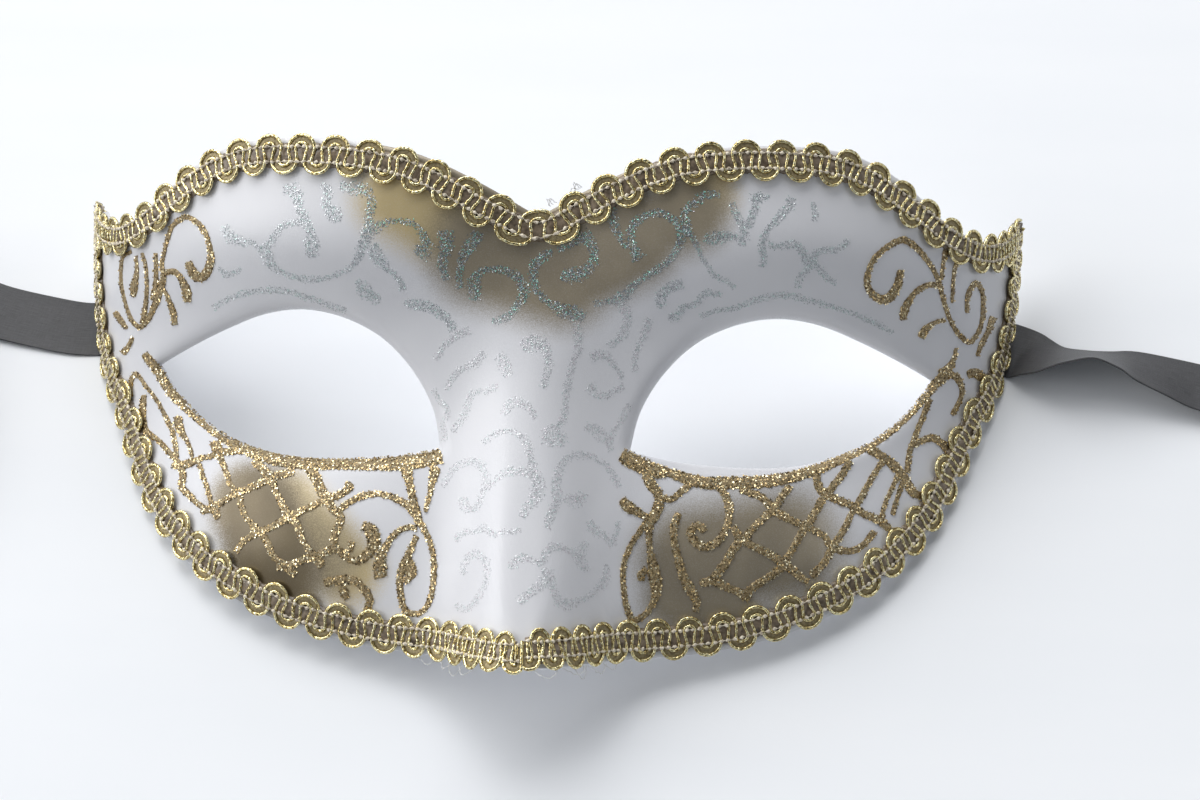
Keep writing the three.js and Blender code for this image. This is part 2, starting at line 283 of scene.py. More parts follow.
def merged_copy(node, name):
    piece = bpy.data.objects.new(name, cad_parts[node].data.copy())
    bpy.context.scene.collection.objects.link(piece)
    only(piece)
    bpy.ops.object.mode_set(mode="EDIT")
    bpy.ops.mesh.select_all(action="SELECT")
    bpy.ops.mesh.remove_doubles(threshold=MERGE_DISTANCE)
    bpy.ops.object.mode_set(mode="OBJECT")
    return piece


shell = merged_copy("mask_shell", "painted_shell")


def rim_loops(piece):
    """The two closed loops of sharp edges round the rim, as points, the front one first."""
    bm = bmesh.new()
    bm.from_mesh(piece.data)
    sharp = [e for e in bm.edges if e.calc_face_angle(0) > RIM_ANGLE]
    touching = {}
    for edge in sharp:
        for vert in edge.verts:
            touching.setdefault(vert, []).append(edge)
    linked = {v: [e.other_vert(v) for e in edges
                  if len(edges) == 2 or len(touching[e.other_vert(v)]) == 2]
              for v, edges in touching.items()}
    loops, seen = [], set()
    for start in sorted(linked, key=lambda v: (v.co.y, v.co.z)):
        if start in seen:
            continue
        loop, here = [], start
        while here is not None:
            seen.add(here)
            loop.append(here.co.copy())
            here = next((v for v in linked[here] if v not in seen), None)
        loops.append(loop)
    bm.free()
    loops.sort(key=length_of, reverse=True)
    front, back = sorted(loops[:2], key=lambda loop: -sum(p.z for p in loop) / len(loop))
    return front, back


front_rim, back_rim = rim_loops(shell)
print("rim loops:", len(front_rim), "and", len(back_rim), "points,",
      round(length_of(front_rim) / MM), "mm round")

only(shell)
bpy.ops.object.mode_set(mode="EDIT")
bpy.ops.mesh.select_all(action="SELECT")
bpy.ops.mesh.tris_convert_to_quads(face_threshold=FLATNESS_OF_PAIRS, shape_threshold=SQUARENESS_OF_PAIRS)
bpy.ops.mesh.select_all(action="DESELECT")
bpy.ops.mesh.edges_select_sharp(sharpness=RIM_ANGLE)
bpy.ops.transform.edge_crease(value=RIM_CREASE)
bpy.ops.object.mode_set(mode="OBJECT")
apply_modifier(shell, "SUBSURF", levels=SUBDIVISIONS, render_levels=SUBDIVISIONS)
smooth(shell, SHELL_SMOOTHING)
on_root(shell, "painted_shell", "mask_shell")
print("shell faces:", len(shell.data.polygons))

# %% [markdown]
# The braid is laid along the rim, so it needs to know its way there. The rim loop of the solid is split
# at its corners, each stretch is smoothed, and at short steps along it the script walks inwards over
# the skin. The rows of spots and normals it finds are the rails on which the braid is laid.

# %% Rails along the rim
CORNER = math.radians(38)
RAIL_STEP = 0.5 * MM
RAIL_ACROSS = 2.0 * MM
RAIL_COUNT = 5
ROUNDING = 3
AIM_REACH = 6
STEPS_BETWEEN_RIM_POINTS = 8
TEMPLE_X = 50 * MM

shell_tree = BVHTree.FromObject(shell, bpy.context.evaluated_depsgraph_get())


def even_steps(points, step):
    total = length_of(points)
    count = max(1, round(total / step))
    out, walked, i = [points[0].copy()], 0.0, 0
    for k in range(1, count):
        wanted = total * k / count
        while walked + (points[i + 1] - points[i]).length < wanted:
            walked += (points[i + 1] - points[i]).length
            i += 1
        share = (wanted - walked) / (points[i + 1] - points[i]).length
        out.append(points[i].lerp(points[i + 1], share))
    out.append(points[-1].copy())
    return out


def smoothed_rim(loop):
    """The closed rim from the bottom of the nose, first to the right, and the places of its corners."""
    if loop[1].x < 0:
        loop = [loop[0]] + loop[:0:-1]
    loop = loop + [loop[0]]
    corners = [0]
    for i in range(1, len(loop) - 1):
        if (loop[i] - loop[i - 1]).angle(loop[i + 1] - loop[i]) > CORNER:
            corners.append(i)
    corners.append(len(loop) - 1)
    fine = []
    for start, end in zip(corners, corners[1:]):
        stretch = [tuple(p) for p in loop[start:end + 1]]
        for i in range((end - start) * STEPS_BETWEEN_RIM_POINTS):
            fine.append(Vector(spline(stretch, i / STEPS_BETWEEN_RIM_POINTS)))
    fine.append(loop[-1])
    return even_steps(fine, RAIL_STEP), [loop[i] for i in corners[1:-1]]


rim, rim_corners = smoothed_rim(front_rim)
print("rim corners, mm:", [[round(v / MM, 1) for v in p] for p in rim_corners])


def rails_along(path):
    """Rows of (spot, normal) inwards from each place on a closed path, its corners a little rounded."""
    rails, count = [], len(path) - 1
    for i in range(len(path)):
        p = sum((path[(i + k) % count] for k in range(-ROUNDING, ROUNDING + 1)), Vector())
        p /= 2 * ROUNDING + 1
        along = path[(i + AIM_REACH) % count] - path[(i - AIM_REACH) % count]
        behind = min(back_rim, key=lambda q: (q - p).length_squared)
        normal = (p - behind).normalized()
        rail = []
        spot = p
        for k in range(RAIL_COUNT):
            rail.append((spot, normal))
            inward = normal.cross(along).normalized()
            spot, normal, _, _ = shell_tree.find_nearest(spot + inward * RAIL_ACROSS)
        rail[0] = (rail[0][0], rail[1][1])
        rails.append(rail)
    return rails


rails = rails_along(rim)
rim_length = length_of(rim)
temple_tips = [p for p in rim_corners if abs(p.x) > TEMPLE_X]
tip_places = [min(range(len(rim)), key=lambda i: (rim[i] - p).length) * RAIL_STEP for p in temple_tips]
print("rim:", round(rim_length / MM), "mm, tips at", [round(p / MM) for p in tip_places])


def over_rim(s, d, lift):
    """The point at s along the rim, d inwards over the skin and lift above it."""
    place = min(max(s / rim_length, 0), 1) * (len(rails) - 1)
    i = min(int(place), len(rails) - 2)
    k = min(max(int(d / RAIL_ACROSS), 0), RAIL_COUNT - 2)
    u, v = place - i, d / RAIL_ACROSS - k
    spots = [rails[i][k], rails[i][k + 1], rails[i + 1][k], rails[i + 1][k + 1]]
    shares = [(1 - u) * (1 - v), (1 - u) * v, u * (1 - v), u * v]
    spot = sum((q[0] * w for q, w in zip(spots, shares)), Vector())
    normal = sum((q[1] * w for q, w in zip(spots, shares)), Vector()).normalized()
    return spot + normal * lift


# %% [markdown]
# Scroll gimp is a flat core strip that snakes from side to side, with a bright gold cord laid along
# each of its edges. Its line is a sine-generated curve, the shape that a bent strip takes by itself:
# the heading swings as a sine, a little past square, which gives the round loops. Whoever glued the
# braid on pushed its waves together under the nose and at the temples' tips, and let some loops hang
# over the rim, so the spacing and the overhang change along the way.

# %% The braid's spacing and overhang
BRAID_WIDTH = 7.4 * MM
BRAID_PITCH = 6.3 * MM
NOSE_SQUEEZE, NOSE_REACH = 0.34, 26 * MM
TIP_SQUEEZE, TIP_REACH = 0.38, 16 * MM

# Millimetres along the rim from the nose, and how far the outer loops hang over the rim there.
OVERHANG = {
    "right": [(0, 0.6), (42, 0.5), (60, 0.4), (105, 0.5), (125, 0.8), (141, 1.2), (151, 2.3), (176, 2.0),
              (192, 0.2), (210, 0.8), (235, 1.3), (262, 1.0)],
    "left": [(0, 1.3), (42, 0.6), (60, 0.4), (105, 0.5), (125, 0.8), (141, 1.2), (151, 2.3), (176, 2.1),
             (192, 0.7), (235, 0.6), (252, 0.1), (262, 1.0)],
}


def between(stations, x):
    """The value at x on straight lines between (x, value) stations."""
    for (x0, y0), (x1, y1) in zip(stations, stations[1:]):
        if x <= x1:
            return y0 + (y1 - y0) * (x - x0) / (x1 - x0)
    return stations[-1][1]


def from_tip(s):
    return min(abs(s - tip) for tip in tip_places)


def from_nose(s):
    return min(s, rim_length - s)


def wave_starts():
    """Places along the rim where the waves start, spread both ways from the notch."""
    def pitch_at(s):
        squeeze = NOSE_SQUEEZE * math.exp(-(from_nose(s) / NOSE_REACH) ** 2)
        squeeze += TIP_SQUEEZE * math.exp(-(from_tip(s) / TIP_REACH) ** 2)
        return BRAID_PITCH * (1 - squeeze)

    starts = [rim_length / 2]
    while starts[-1] < rim_length:
        starts.append(starts[-1] + pitch_at(starts[-1]))
    while starts[0] > 0:
        starts.insert(0, starts[0] - pitch_at(starts[0]))
    return starts


wave_places = wave_starts()
print("braid:", len(wave_places) - 1, "waves")

# %% [markdown]
# One wave is worked out by adding up short steps along its swinging heading, and then thinned. It is
# repeated all round the rim, with a loop at the notch. Towards a tip of the temples, where the two sides
# of the rim come close, the braid gets narrower.

# %% The braid's line
HEADING_SWING = math.radians(102)
WAVE_STEPS = 32
STEPS_ADDED_UP = 20
WIRE_RADIUS = 0.29 * MM
WIRE_OFFSETS = (-0.69 * MM, 0.69 * MM)
TIP_SLOPE = 0.75
TIP_ROOM = 1.3 * MM
BUTT_GAP = 0.15 * MM


def one_wave():
    """Shares (along, inwards) of one wave, from one outer loop to the next."""
    along, inwards = [0.0], [0.0]
    count = WAVE_STEPS * STEPS_ADDED_UP
    for i in range(count):
        heading = HEADING_SWING * math.sin(2 * math.pi * (i + 0.5) / count)
        along.append(along[-1] + math.cos(heading))
        inwards.append(inwards[-1] + math.sin(heading))
    along, inwards = along[::STEPS_ADDED_UP], inwards[::STEPS_ADDED_UP]
    return [(a / along[-1], d / max(inwards)) for a, d in zip(along[:-1], inwards[:-1])]


WAVE = one_wave()


def braid_edges(s):
    """The outer and the inner edge of the braid at s along the rim, as distances inwards."""
    side = "right" if s < rim_length / 2 else "left"
    outer = -between(OVERHANG[side], from_nose(s) / MM) * MM
    return outer, min(outer + BRAID_WIDTH, TIP_ROOM + from_tip(s) * TIP_SLOPE)


def braid_line():
    """The core's middle as places (along, inwards), all the way round."""
    half = max(WIRE_OFFSETS) + WIRE_RADIUS
    line = []
    for start, end in zip(wave_places, wave_places[1:]):
        for a, d in WAVE:
            s = start + a * (end - start)
            outer, inner = braid_edges(s)
            line.append((s, outer + half + (inner - outer - 2 * half) * d))
    return [p for p in line if BUTT_GAP < p[0] < rim_length - BUTT_GAP]


line = braid_line()
print("braid's line:", len(line), "places")

# %% [markdown]
# The gold cords are round tubes. A curve with a round bevel gives such a tube, and is then made a mesh.
# They lie a little above the core, one at each of its edges, and follow it round every loop.

# %% The braid's gold cords
CORE_LIFT = 0.52 * MM
WIRE_RISE = 0.32 * MM
TUBE_ROUNDNESS = 2
TUBE_SMOOTHING = 80


def beside(line, i, offset):
    """A place beside the core's middle, square to the way it runs."""
    (s0, d0), (s1, d1) = line[max(i - 1, 0)], line[min(i + 1, len(line) - 1)]
    s, d = line[i]
    run = math.hypot(s1 - s0, d1 - d0) or 1
    return s - (d1 - d0) / run * offset, d + (s1 - s0) / run * offset


def tubes(name, lines, radius, swell=None):
    """Round tubes along lists of points, as one mesh. Swell gives the share of the radius at a point."""
    data = bpy.data.curves.new(name, "CURVE")
    data.dimensions = "3D"
    data.bevel_depth = radius
    data.bevel_resolution = TUBE_ROUNDNESS
    data.use_fill_caps = True
    for points in lines:
        run = data.splines.new("POLY")
        run.points.add(len(points) - 1)
        for i, (point, spot) in enumerate(zip(run.points, points)):
            point.co = (*spot, 1)
            if swell:
                point.radius = swell(i)
    piece = bpy.data.objects.new(name, data)
    bpy.context.scene.collection.objects.link(piece)
    only(piece)
    bpy.ops.object.convert(target="MESH")
    piece.name = name
    smooth(piece, TUBE_SMOOTHING)
    return piece


wires = tubes("braid_gold_wires", [
    [over_rim(*beside(line, i, offset), CORE_LIFT + WIRE_RISE) for i in range(len(line))]
    for offset in WIRE_OFFSETS
], WIRE_RADIUS)
on_root(wires, "gold_braid", "gimp_braid")
print("gold wires:", len(wires.data.polygons), "faces")

# %% [markdown]
# The core is woven flat, with rounded edges. It is a strip with an eight-sided section, given as shares
# of its width and its thickness.

# %% The braid's core
CORE_WIDTH = 1.5 * MM
CORE_THICKNESS = 0.5 * MM
CORE_SECTION = [(-0.5, 0), (-0.36, 0.42), (0, 0.5), (0.36, 0.42), (0.5, 0), (0.36, -0.42), (0, -0.5),
                (-0.36, -0.42)]
CORE_SMOOTHING = 80


def closed_strip(name, rings, smoothing):
    """A closed mesh through rings of points, with a cap at each end."""
    count = len(rings[0])
    faces = []
    for i in range(len(rings) - 1):
        for k in range(count):
            n = (k + 1) % count
            faces.append((i * count + k, i * count + n, (i + 1) * count + n, (i + 1) * count + k))
    faces.append(tuple(range(count - 1, -1, -1)))
    faces.append(tuple(range((len(rings) - 1) * count, len(rings) * count)))
    return closed_piece(name, [p for ring in rings for p in ring], faces, smoothing)


core = closed_strip("braid_core", [
    [over_rim(*beside(line, i, across * CORE_WIDTH), CORE_LIFT + up * CORE_THICKNESS)
     for across, up in CORE_SECTION]
    for i in range(len(line))
], CORE_SMOOTHING)
on_root(core, "gold_braid")
print("braid core:", len(core.data.polygons), "faces")

# %% [markdown]
# Two rows of clear thread hold the waves together. Each row is a chain stitch, seen as a string of
# small beads, so its tube swells at every stitch.

# %% The braid's threads
THREAD_ROWS = (2.35 * MM, 5.05 * MM)
THREAD_STEP = 0.2 * MM
STEPS_PER_STITCH = 6
THREAD_LIFT = 0.92 * MM
THREAD_WOBBLE = 0.12 * MM
THREAD_RADIUS = 0.35 * MM
THREAD_WAIST = 0.1
random.seed(3)


def across_braid(s, row):
    """How far inwards a row of the full-width braid runs at s, where the braid may be narrower."""
    outer, inner = braid_edges(s)
    return outer + row * (inner - outer) / BRAID_WIDTH


def thread_row(row):
    points = []
    for i in range(2, round(rim_length / THREAD_STEP) - 1):
        s = i * THREAD_STEP
        aside, above = (random.uniform(-1, 1) * THREAD_WOBBLE for _ in range(2))
        points.append(over_rim(s, across_braid(s, row) + aside, THREAD_LIFT + above))
    return points


def stitches(i):
    return THREAD_WAIST + (1 - THREAD_WAIST) * math.sin(math.pi * i / STEPS_PER_STITCH) ** 2


threads = tubes("braid_clear_threads", [thread_row(row) for row in THREAD_ROWS], THREAD_RADIUS, stitches)
on_root(threads, "gold_braid")
print("threads:", len(threads.data.polygons), "faces")

# %% [markdown]
# The braid is held by a band of hot glue. It has risen between the waves and dried as a lumpy, brownish
# film. The band's dark brown is partly the glue's own colour and partly painted shade between the
# strands, and it makes the middle of the braid look dark. The band is a low strip with uneven lumps.
# Its section is given as shares of its width and millimetres over the skin.

# %% The glue and painted shade under the braid
GLUE_ROWS = (1.6 * MM, 5.8 * MM)
GLUE_STEP = 0.4 * MM
GLUE_LUMP = 0.16 * MM
GLUE_SECTION = [(0, 0.0), (0.08, 0.4), (0.24, 0.74), (0.42, 0.88), (0.58, 0.88), (0.76, 0.74),
                (0.92, 0.4), (1, 0.0), (1, -0.2), (0, -0.2)]
LUMPY_ABOVE = 0.2
GLUE_SMOOTHING = 70
random.seed(11)


def glue_ring(s):
    edges = [across_braid(s, row) + random.uniform(-1, 1) * GLUE_LUMP for row in GLUE_ROWS]
    ring = []
    for share, lift in GLUE_SECTION:
        lump = random.uniform(-1, 1) * GLUE_LUMP if lift > LUMPY_ABOVE else 0
        ring.append(over_rim(s, edges[0] + (edges[1] - edges[0]) * share, lift * MM + lump))
    return ring


glue_rings = [glue_ring(i * GLUE_STEP) for i in range(1, round(rim_length / GLUE_STEP) - 1)]
# The band's dark finish is partly painted shade between the braid's strands.
glue_and_shade_band = closed_strip("braid_glue_and_shade", glue_rings, GLUE_SMOOTHING)
on_root(glue_and_shade_band, "gold_braid")
print("glue band:", len(glue_and_shade_band.data.polygons), "faces")

# %% [markdown]
# A hot glue gun pulls strings. A few are left along the braid, under the nose and beside the notch.
# Each one starts at the braid's outer edge, bows outwards and comes back.

# %% Strings of glue
STRING_RADIUS = 0.055 * MM
STRING_STEPS = 14
STRING_WAVER = 0.16 * MM
STRING_ROOT = 0.4 * MM
STRING_LIFT = 0.5

# Millimetres from the nose along the rim, length along it, reach outwards and rise over the skin.
STRINGS = {
    "right": [(2, 4, 1.7, 0.5), (7, 5, 1.3, 0.9), (9.5, 3, 2.1, 0.4), (13, 4.5, 1.6, 0.7), (17, 3, 1.2, 0.9),
              (252, 1.4, 1.0, 1.0), (252.8, 1.6, 0.7, 0.6), (252.4, 0.9, 1.3, 0.7), (257.2, 1.2, 0.9, 0.9),
              (257.8, 0.8, 1.2, 0.5)],
    "left": [(9, 4, 1.5, 0.6), (12, 5, 2.0, 0.3), (15.5, 3, 1.3, 0.8), (20, 4, 1.1, 0.6)],
}


def glue_string(side, start, along, reach, rise):
    points = []
    for i in range(STRING_STEPS + 1):
        bow = math.sin(math.pi * i / STRING_STEPS)
        away = start * MM + along * MM * i / STRING_STEPS
        s = away if side == "right" else rim_length - away
        waver = [random.uniform(-1, 1) * STRING_WAVER for _ in range(3)]
        inwards = braid_edges(s)[0] + STRING_ROOT - reach * bow * MM + waver[1]
        points.append(over_rim(s + waver[0], inwards, (STRING_LIFT + rise * bow) * MM + waver[2]))
    return points


string_lines = [glue_string(side, *row) for side, rows in STRINGS.items() for row in rows]
glue_strings = tubes("glue_strings", string_lines, STRING_RADIUS)
on_root(glue_strings, "gold_braid")
print("strings of glue:", len(string_lines))

# %% [markdown]
# Inside each temple, the ribbon's end is stuck down under a flat dab of hot glue. A fine ball is made
# uneven, smoothed, flattened, and laid square to the wall.

# %% Dabs of glue on the ribbons' ends
DAB_SIZE = (8.5 * MM, 7 * MM, 1.5 * MM)
DAB_UNEVENNESS = 0.12
DAB_SUBDIVISIONS = 4
DAB_ROUNDS_OF_SMOOTHING = 6
DAB_RISE = 0.2
DAB_SHADING = 80


def glue_dab(side):
    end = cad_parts[f"ribbon_{side}_glued_end"]
    middle = sum((v.co for v in end.data.vertices), Vector()) / len(end.data.vertices)
    _, inwards, _, _ = shell_tree.find_nearest(middle)
    bpy.ops.object.select_all(action="DESELECT")
    bpy.ops.mesh.primitive_ico_sphere_add(subdivisions=DAB_SUBDIVISIONS, radius=0.5)
    dab = bpy.context.active_object
    dab.name = f"glue_dab_{side}"
    for vert in dab.data.vertices:
        vert.co *= 1 + random.uniform(-1, 1) * DAB_UNEVENNESS
    apply_modifier(dab, "SMOOTH", factor=0.5, iterations=DAB_ROUNDS_OF_SMOOTHING)
    dab.dimensions = DAB_SIZE
    dab.rotation_euler = inwards.to_track_quat("Z", "Y").to_euler()
    dab.location = middle + inwards * DAB_RISE * MM
    bpy.ops.object.transform_apply(location=True, rotation=True, scale=True)
    smooth(dab, DAB_SHADING)
    return on_root(dab, "satin_ribbon")


dabs = [glue_dab(side) for side in TIES]
print("dabs of glue:", [dab.name for dab in dabs])

# %% [markdown]
# The airbrushed patches have soft edges: gold paint, shaded with bronze, and with brown on the left
# cheek. The gold on the brow's left is partly painted highlight: where the key lamp shines in the
# metallic paint, a paler gold is laid in as colour. Each patch is made of straight passes of the
# airbrush. A pass is given by its two ends in the photograph's pixels, the radius of full cover, the
# radius where the mist ends, and how thickly it covers. The cover at each of the skin's points is kept
# as an attribute for the paint's material, and so is whether the point is on the bare inside, which is
# the side that faces the wearer's head.

# %% Airbrushed patches
AIRBRUSH_PASSES = {
    "gold_and_highlight_cover": [
        # Brow, left: partly gold paint and partly painted highlight, where the key lamp shines in the metal.
        ((396, 196), (440, 222), 18, 62, 1),
        ((708, 190), (690, 202), 8, 44, 1),
        ((288, 504), (346, 570), 16, 52, 1),
    ],
    "bronze_cover": [
        ((486, 250), (560, 270), 34, 80, 1),
        ((560, 268), (628, 234), 34, 74, 1),
        ((628, 234), (690, 212), 18, 60, 1),
        ((376, 148), (462, 182), 8, 18, 1),
        ((462, 182), (540, 222), 14, 34, 1),
        ((540, 222), (612, 184), 14, 34, 1),
        ((252, 506), (284, 572), 30, 58, 1),
        ((270, 498), (322, 560), 20, 52, 0.6),
        ((694, 562), (784, 546), 30, 82, 1),
        ((676, 598), (730, 604), 14, 54, 1),
    ],
    "brown_cover": [
        ((258, 508), (274, 572), 26, 58, 1),
        ((272, 500), (306, 566), 12, 44, 0.55),
    ],
}
HEAD_MIDDLE = Vector((0, 0, -60)) * MM


def cover_at(passes, px, py):
    """How thickly the paint of some passes lies at a pixel, from 0 to 1, with a soft edge."""
    cover = 0
    for (x0, y0), (x1, y1), full, mist, thickness in passes:
        run_x, run_y = x1 - x0, y1 - y0
        t = ((px - x0) * run_x + (py - y0) * run_y) / (run_x ** 2 + run_y ** 2)
        t = min(max(t, 0), 1)
        share = (mist - math.hypot(px - x0 - t * run_x, py - y0 - t * run_y)) / (mist - full)
        share = min(max(share, 0), 1)
        cover = max(cover, share * share * (3 - 2 * share) * thickness)
    return cover


def point_values(piece, name, values):
    attribute = piece.data.attributes.new(name, "FLOAT", "POINT")
    attribute.data.foreach_set("value", values)


outside = [v.normal.dot(v.co - HEAD_MIDDLE) > 0 for v in shell.data.vertices]
point_values(shell, "bare_inside", [0.0 if out else 1.0 for out in outside])
for name, passes in AIRBRUSH_PASSES.items():
    covers = [cover_at(passes, *pixel_of(v.co)) if out else 0.0
              for v, out in zip(shell.data.vertices, outside)]
    point_values(shell, name, covers)
    print(name, "on", sum(c > 0.5 for c in covers), "of", len(covers), "points")

# %% [markdown]
# The scrolls and the lattice are drawn by hand with glitter glue from a fine nozzle. Each stroke is
# given by a few points: x and y in the photograph's pixels, and how wide the stroke is there. A smooth
# curve joins them, and the line of sight through each of its points says where it lies on the skin.

# %% Gold strokes, left side
LEFT_GOLD = [
    # along the lower lid
    [(144, 354, 9), (158, 371, 10), (170, 391, 10), (189, 409, 11), (210, 427, 11), (229, 440, 12),
     (253, 452, 13), (277, 459, 14), (308, 463, 14), (348, 464, 12), (384, 464, 14), (417, 461, 16),
     (442, 456, 15)],
    # temple scroll
    [(132, 252, 4), (123, 257, 4), (121, 272, 4), (122, 288, 4), (127, 308, 4), (133, 322, 5),
     (140, 327, 6), (148, 320, 6), (155, 305, 7), (160, 290, 8), (164, 275, 6), (162, 266, 5),
     (164, 254, 4), (167, 241, 5), (172, 227, 5), (180, 220, 6), (188, 217, 5), (200, 225, 6),
     (207, 237, 5), (210, 248, 6), (211, 260, 8), (207, 272, 10), (200, 278, 10), (193, 272, 10),
     (188, 262, 7)],
    [(156, 253, 4), (156, 266, 5), (156, 284, 6), (153, 300, 6)],
    [(142, 253, 4), (146, 267, 4), (147, 285, 4), (146, 302, 5), (144, 315, 6), (142, 323, 5)],
    [(136, 256, 4), (137, 268, 4), (136, 278, 6), (134, 288, 9), (134, 297, 5)],
    [(163, 275, 6), (167, 272, 6), (175, 272, 6), (182, 280, 7), (187, 292, 10), (188, 302, 7)],
    [(163, 287, 4), (168, 298, 5), (173, 312, 7), (175, 325, 6)],
    [(115, 312, 6), (122, 322, 6), (127, 329, 4)],
    [(133, 337, 4), (128, 347, 6), (123, 354, 8)],
    # cheek, below the temple
    [(131, 397, 5), (131, 383, 5), (136, 374, 5), (146, 386, 4), (158, 402, 4), (169, 423, 5),
     (174, 437, 5), (177, 458, 5)],
    [(144, 395, 6), (143, 414, 7), (146, 430, 6), (158, 440, 6), (169, 452, 6), (179, 464, 7),
     (183, 476, 8), (182, 487, 7), (191, 497, 7), (197, 503, 6), (206, 509, 7), (215, 510, 9),
     (218, 519, 6)],
    [(178, 416, 8), (179, 426, 10), (184, 436, 6), (190, 447, 4), (192, 457, 5)],
    [(172, 465, 6), (184, 465, 9), (200, 459, 6), (212, 456, 6), (224, 452, 8), (243, 451, 7)],
    [(216, 441, 12), (217, 448, 12), (220, 457, 8), (226, 471, 6), (230, 483, 5), (236, 491, 6)],
    [(199, 463, 5), (203, 476, 5), (208, 490, 5), (212, 507, 5)],
    # lattice
    [(201, 512, 6), (214, 507, 7), (227, 499, 6), (239, 492, 7), (253, 487, 7), (267, 480, 8),
     (281, 475, 8), (294, 471, 7)],
    [(254, 460, 9), (262, 468, 9), (271, 478, 9), (275, 490, 6), (281, 502, 7), (288, 516, 9),
     (298, 526, 8), (301, 538, 6), (308, 549, 7), (317, 559, 10), (322, 567, 9)],
    [(240, 492, 6), (241, 504, 6), (247, 518, 5), (257, 530, 8), (265, 538, 7), (269, 546, 7),
     (274, 556, 6), (286, 567, 9), (296, 574, 7)],
    [(236, 552, 7), (243, 542, 6), (257, 533, 8), (270, 528, 6), (286, 519, 8), (300, 512, 7),
     (317, 504, 7), (325, 499, 9)],
    [(277, 566, 9), (291, 565, 8), (303, 560, 7), (315, 556, 8), (331, 550, 7)],
    [(308, 466, 12), (317, 480, 11), (323, 494, 11), (333, 509, 9), (341, 519, 9), (335, 533, 8),
     (334, 546, 8), (343, 554, 8), (355, 561, 8), (367, 555, 11), (374, 542, 14), (371, 530, 13),
     (362, 526, 8)],
    [(351, 541, 6), (351, 548, 6), (345, 553, 5)],
    [(324, 583, 8), (337, 581, 10), (353, 580, 9), (365, 590, 8), (370, 601, 8), (366, 611, 8)],
    [(341, 586, 6), (344, 592, 9), (347, 599, 6)],
    # scrolls beside the nose
    [(339, 511, 7), (348, 503, 7), (362, 496, 7), (379, 494, 7), (396, 499, 7), (410, 507, 9),
     (419, 521, 8), (430, 542, 6), (434, 563, 6), (433, 585, 6), (429, 602, 6), (420, 613, 6),
     (406, 611, 7), (401, 595, 7), (400, 577, 8), (404, 565, 9), (409, 553, 7), (417, 536, 6)],
    [(324, 495, 8), (334, 497, 8), (346, 491, 8), (351, 486, 7), (345, 484, 5)],
    [(406, 468, 13), (409, 480, 9), (411, 491, 8), (415, 506, 8), (419, 520, 8)],
    [(436, 467, 12), (432, 484, 7), (429, 498, 5), (425, 512, 4)],
    [(406, 559, 11), (410, 568, 13), (411, 575, 10), (404, 582, 6)],
    [(417, 528, 7), (405, 528, 6), (393, 536, 7), (385, 548, 8), (380, 560, 12), (380, 570, 15),
     (381, 578, 12)],
]
print("gold strokes, left side:", len(LEFT_GOLD))

# %% [markdown]
# The right side was drawn by hand as well, so its scrolls only roughly mirror those of the left.

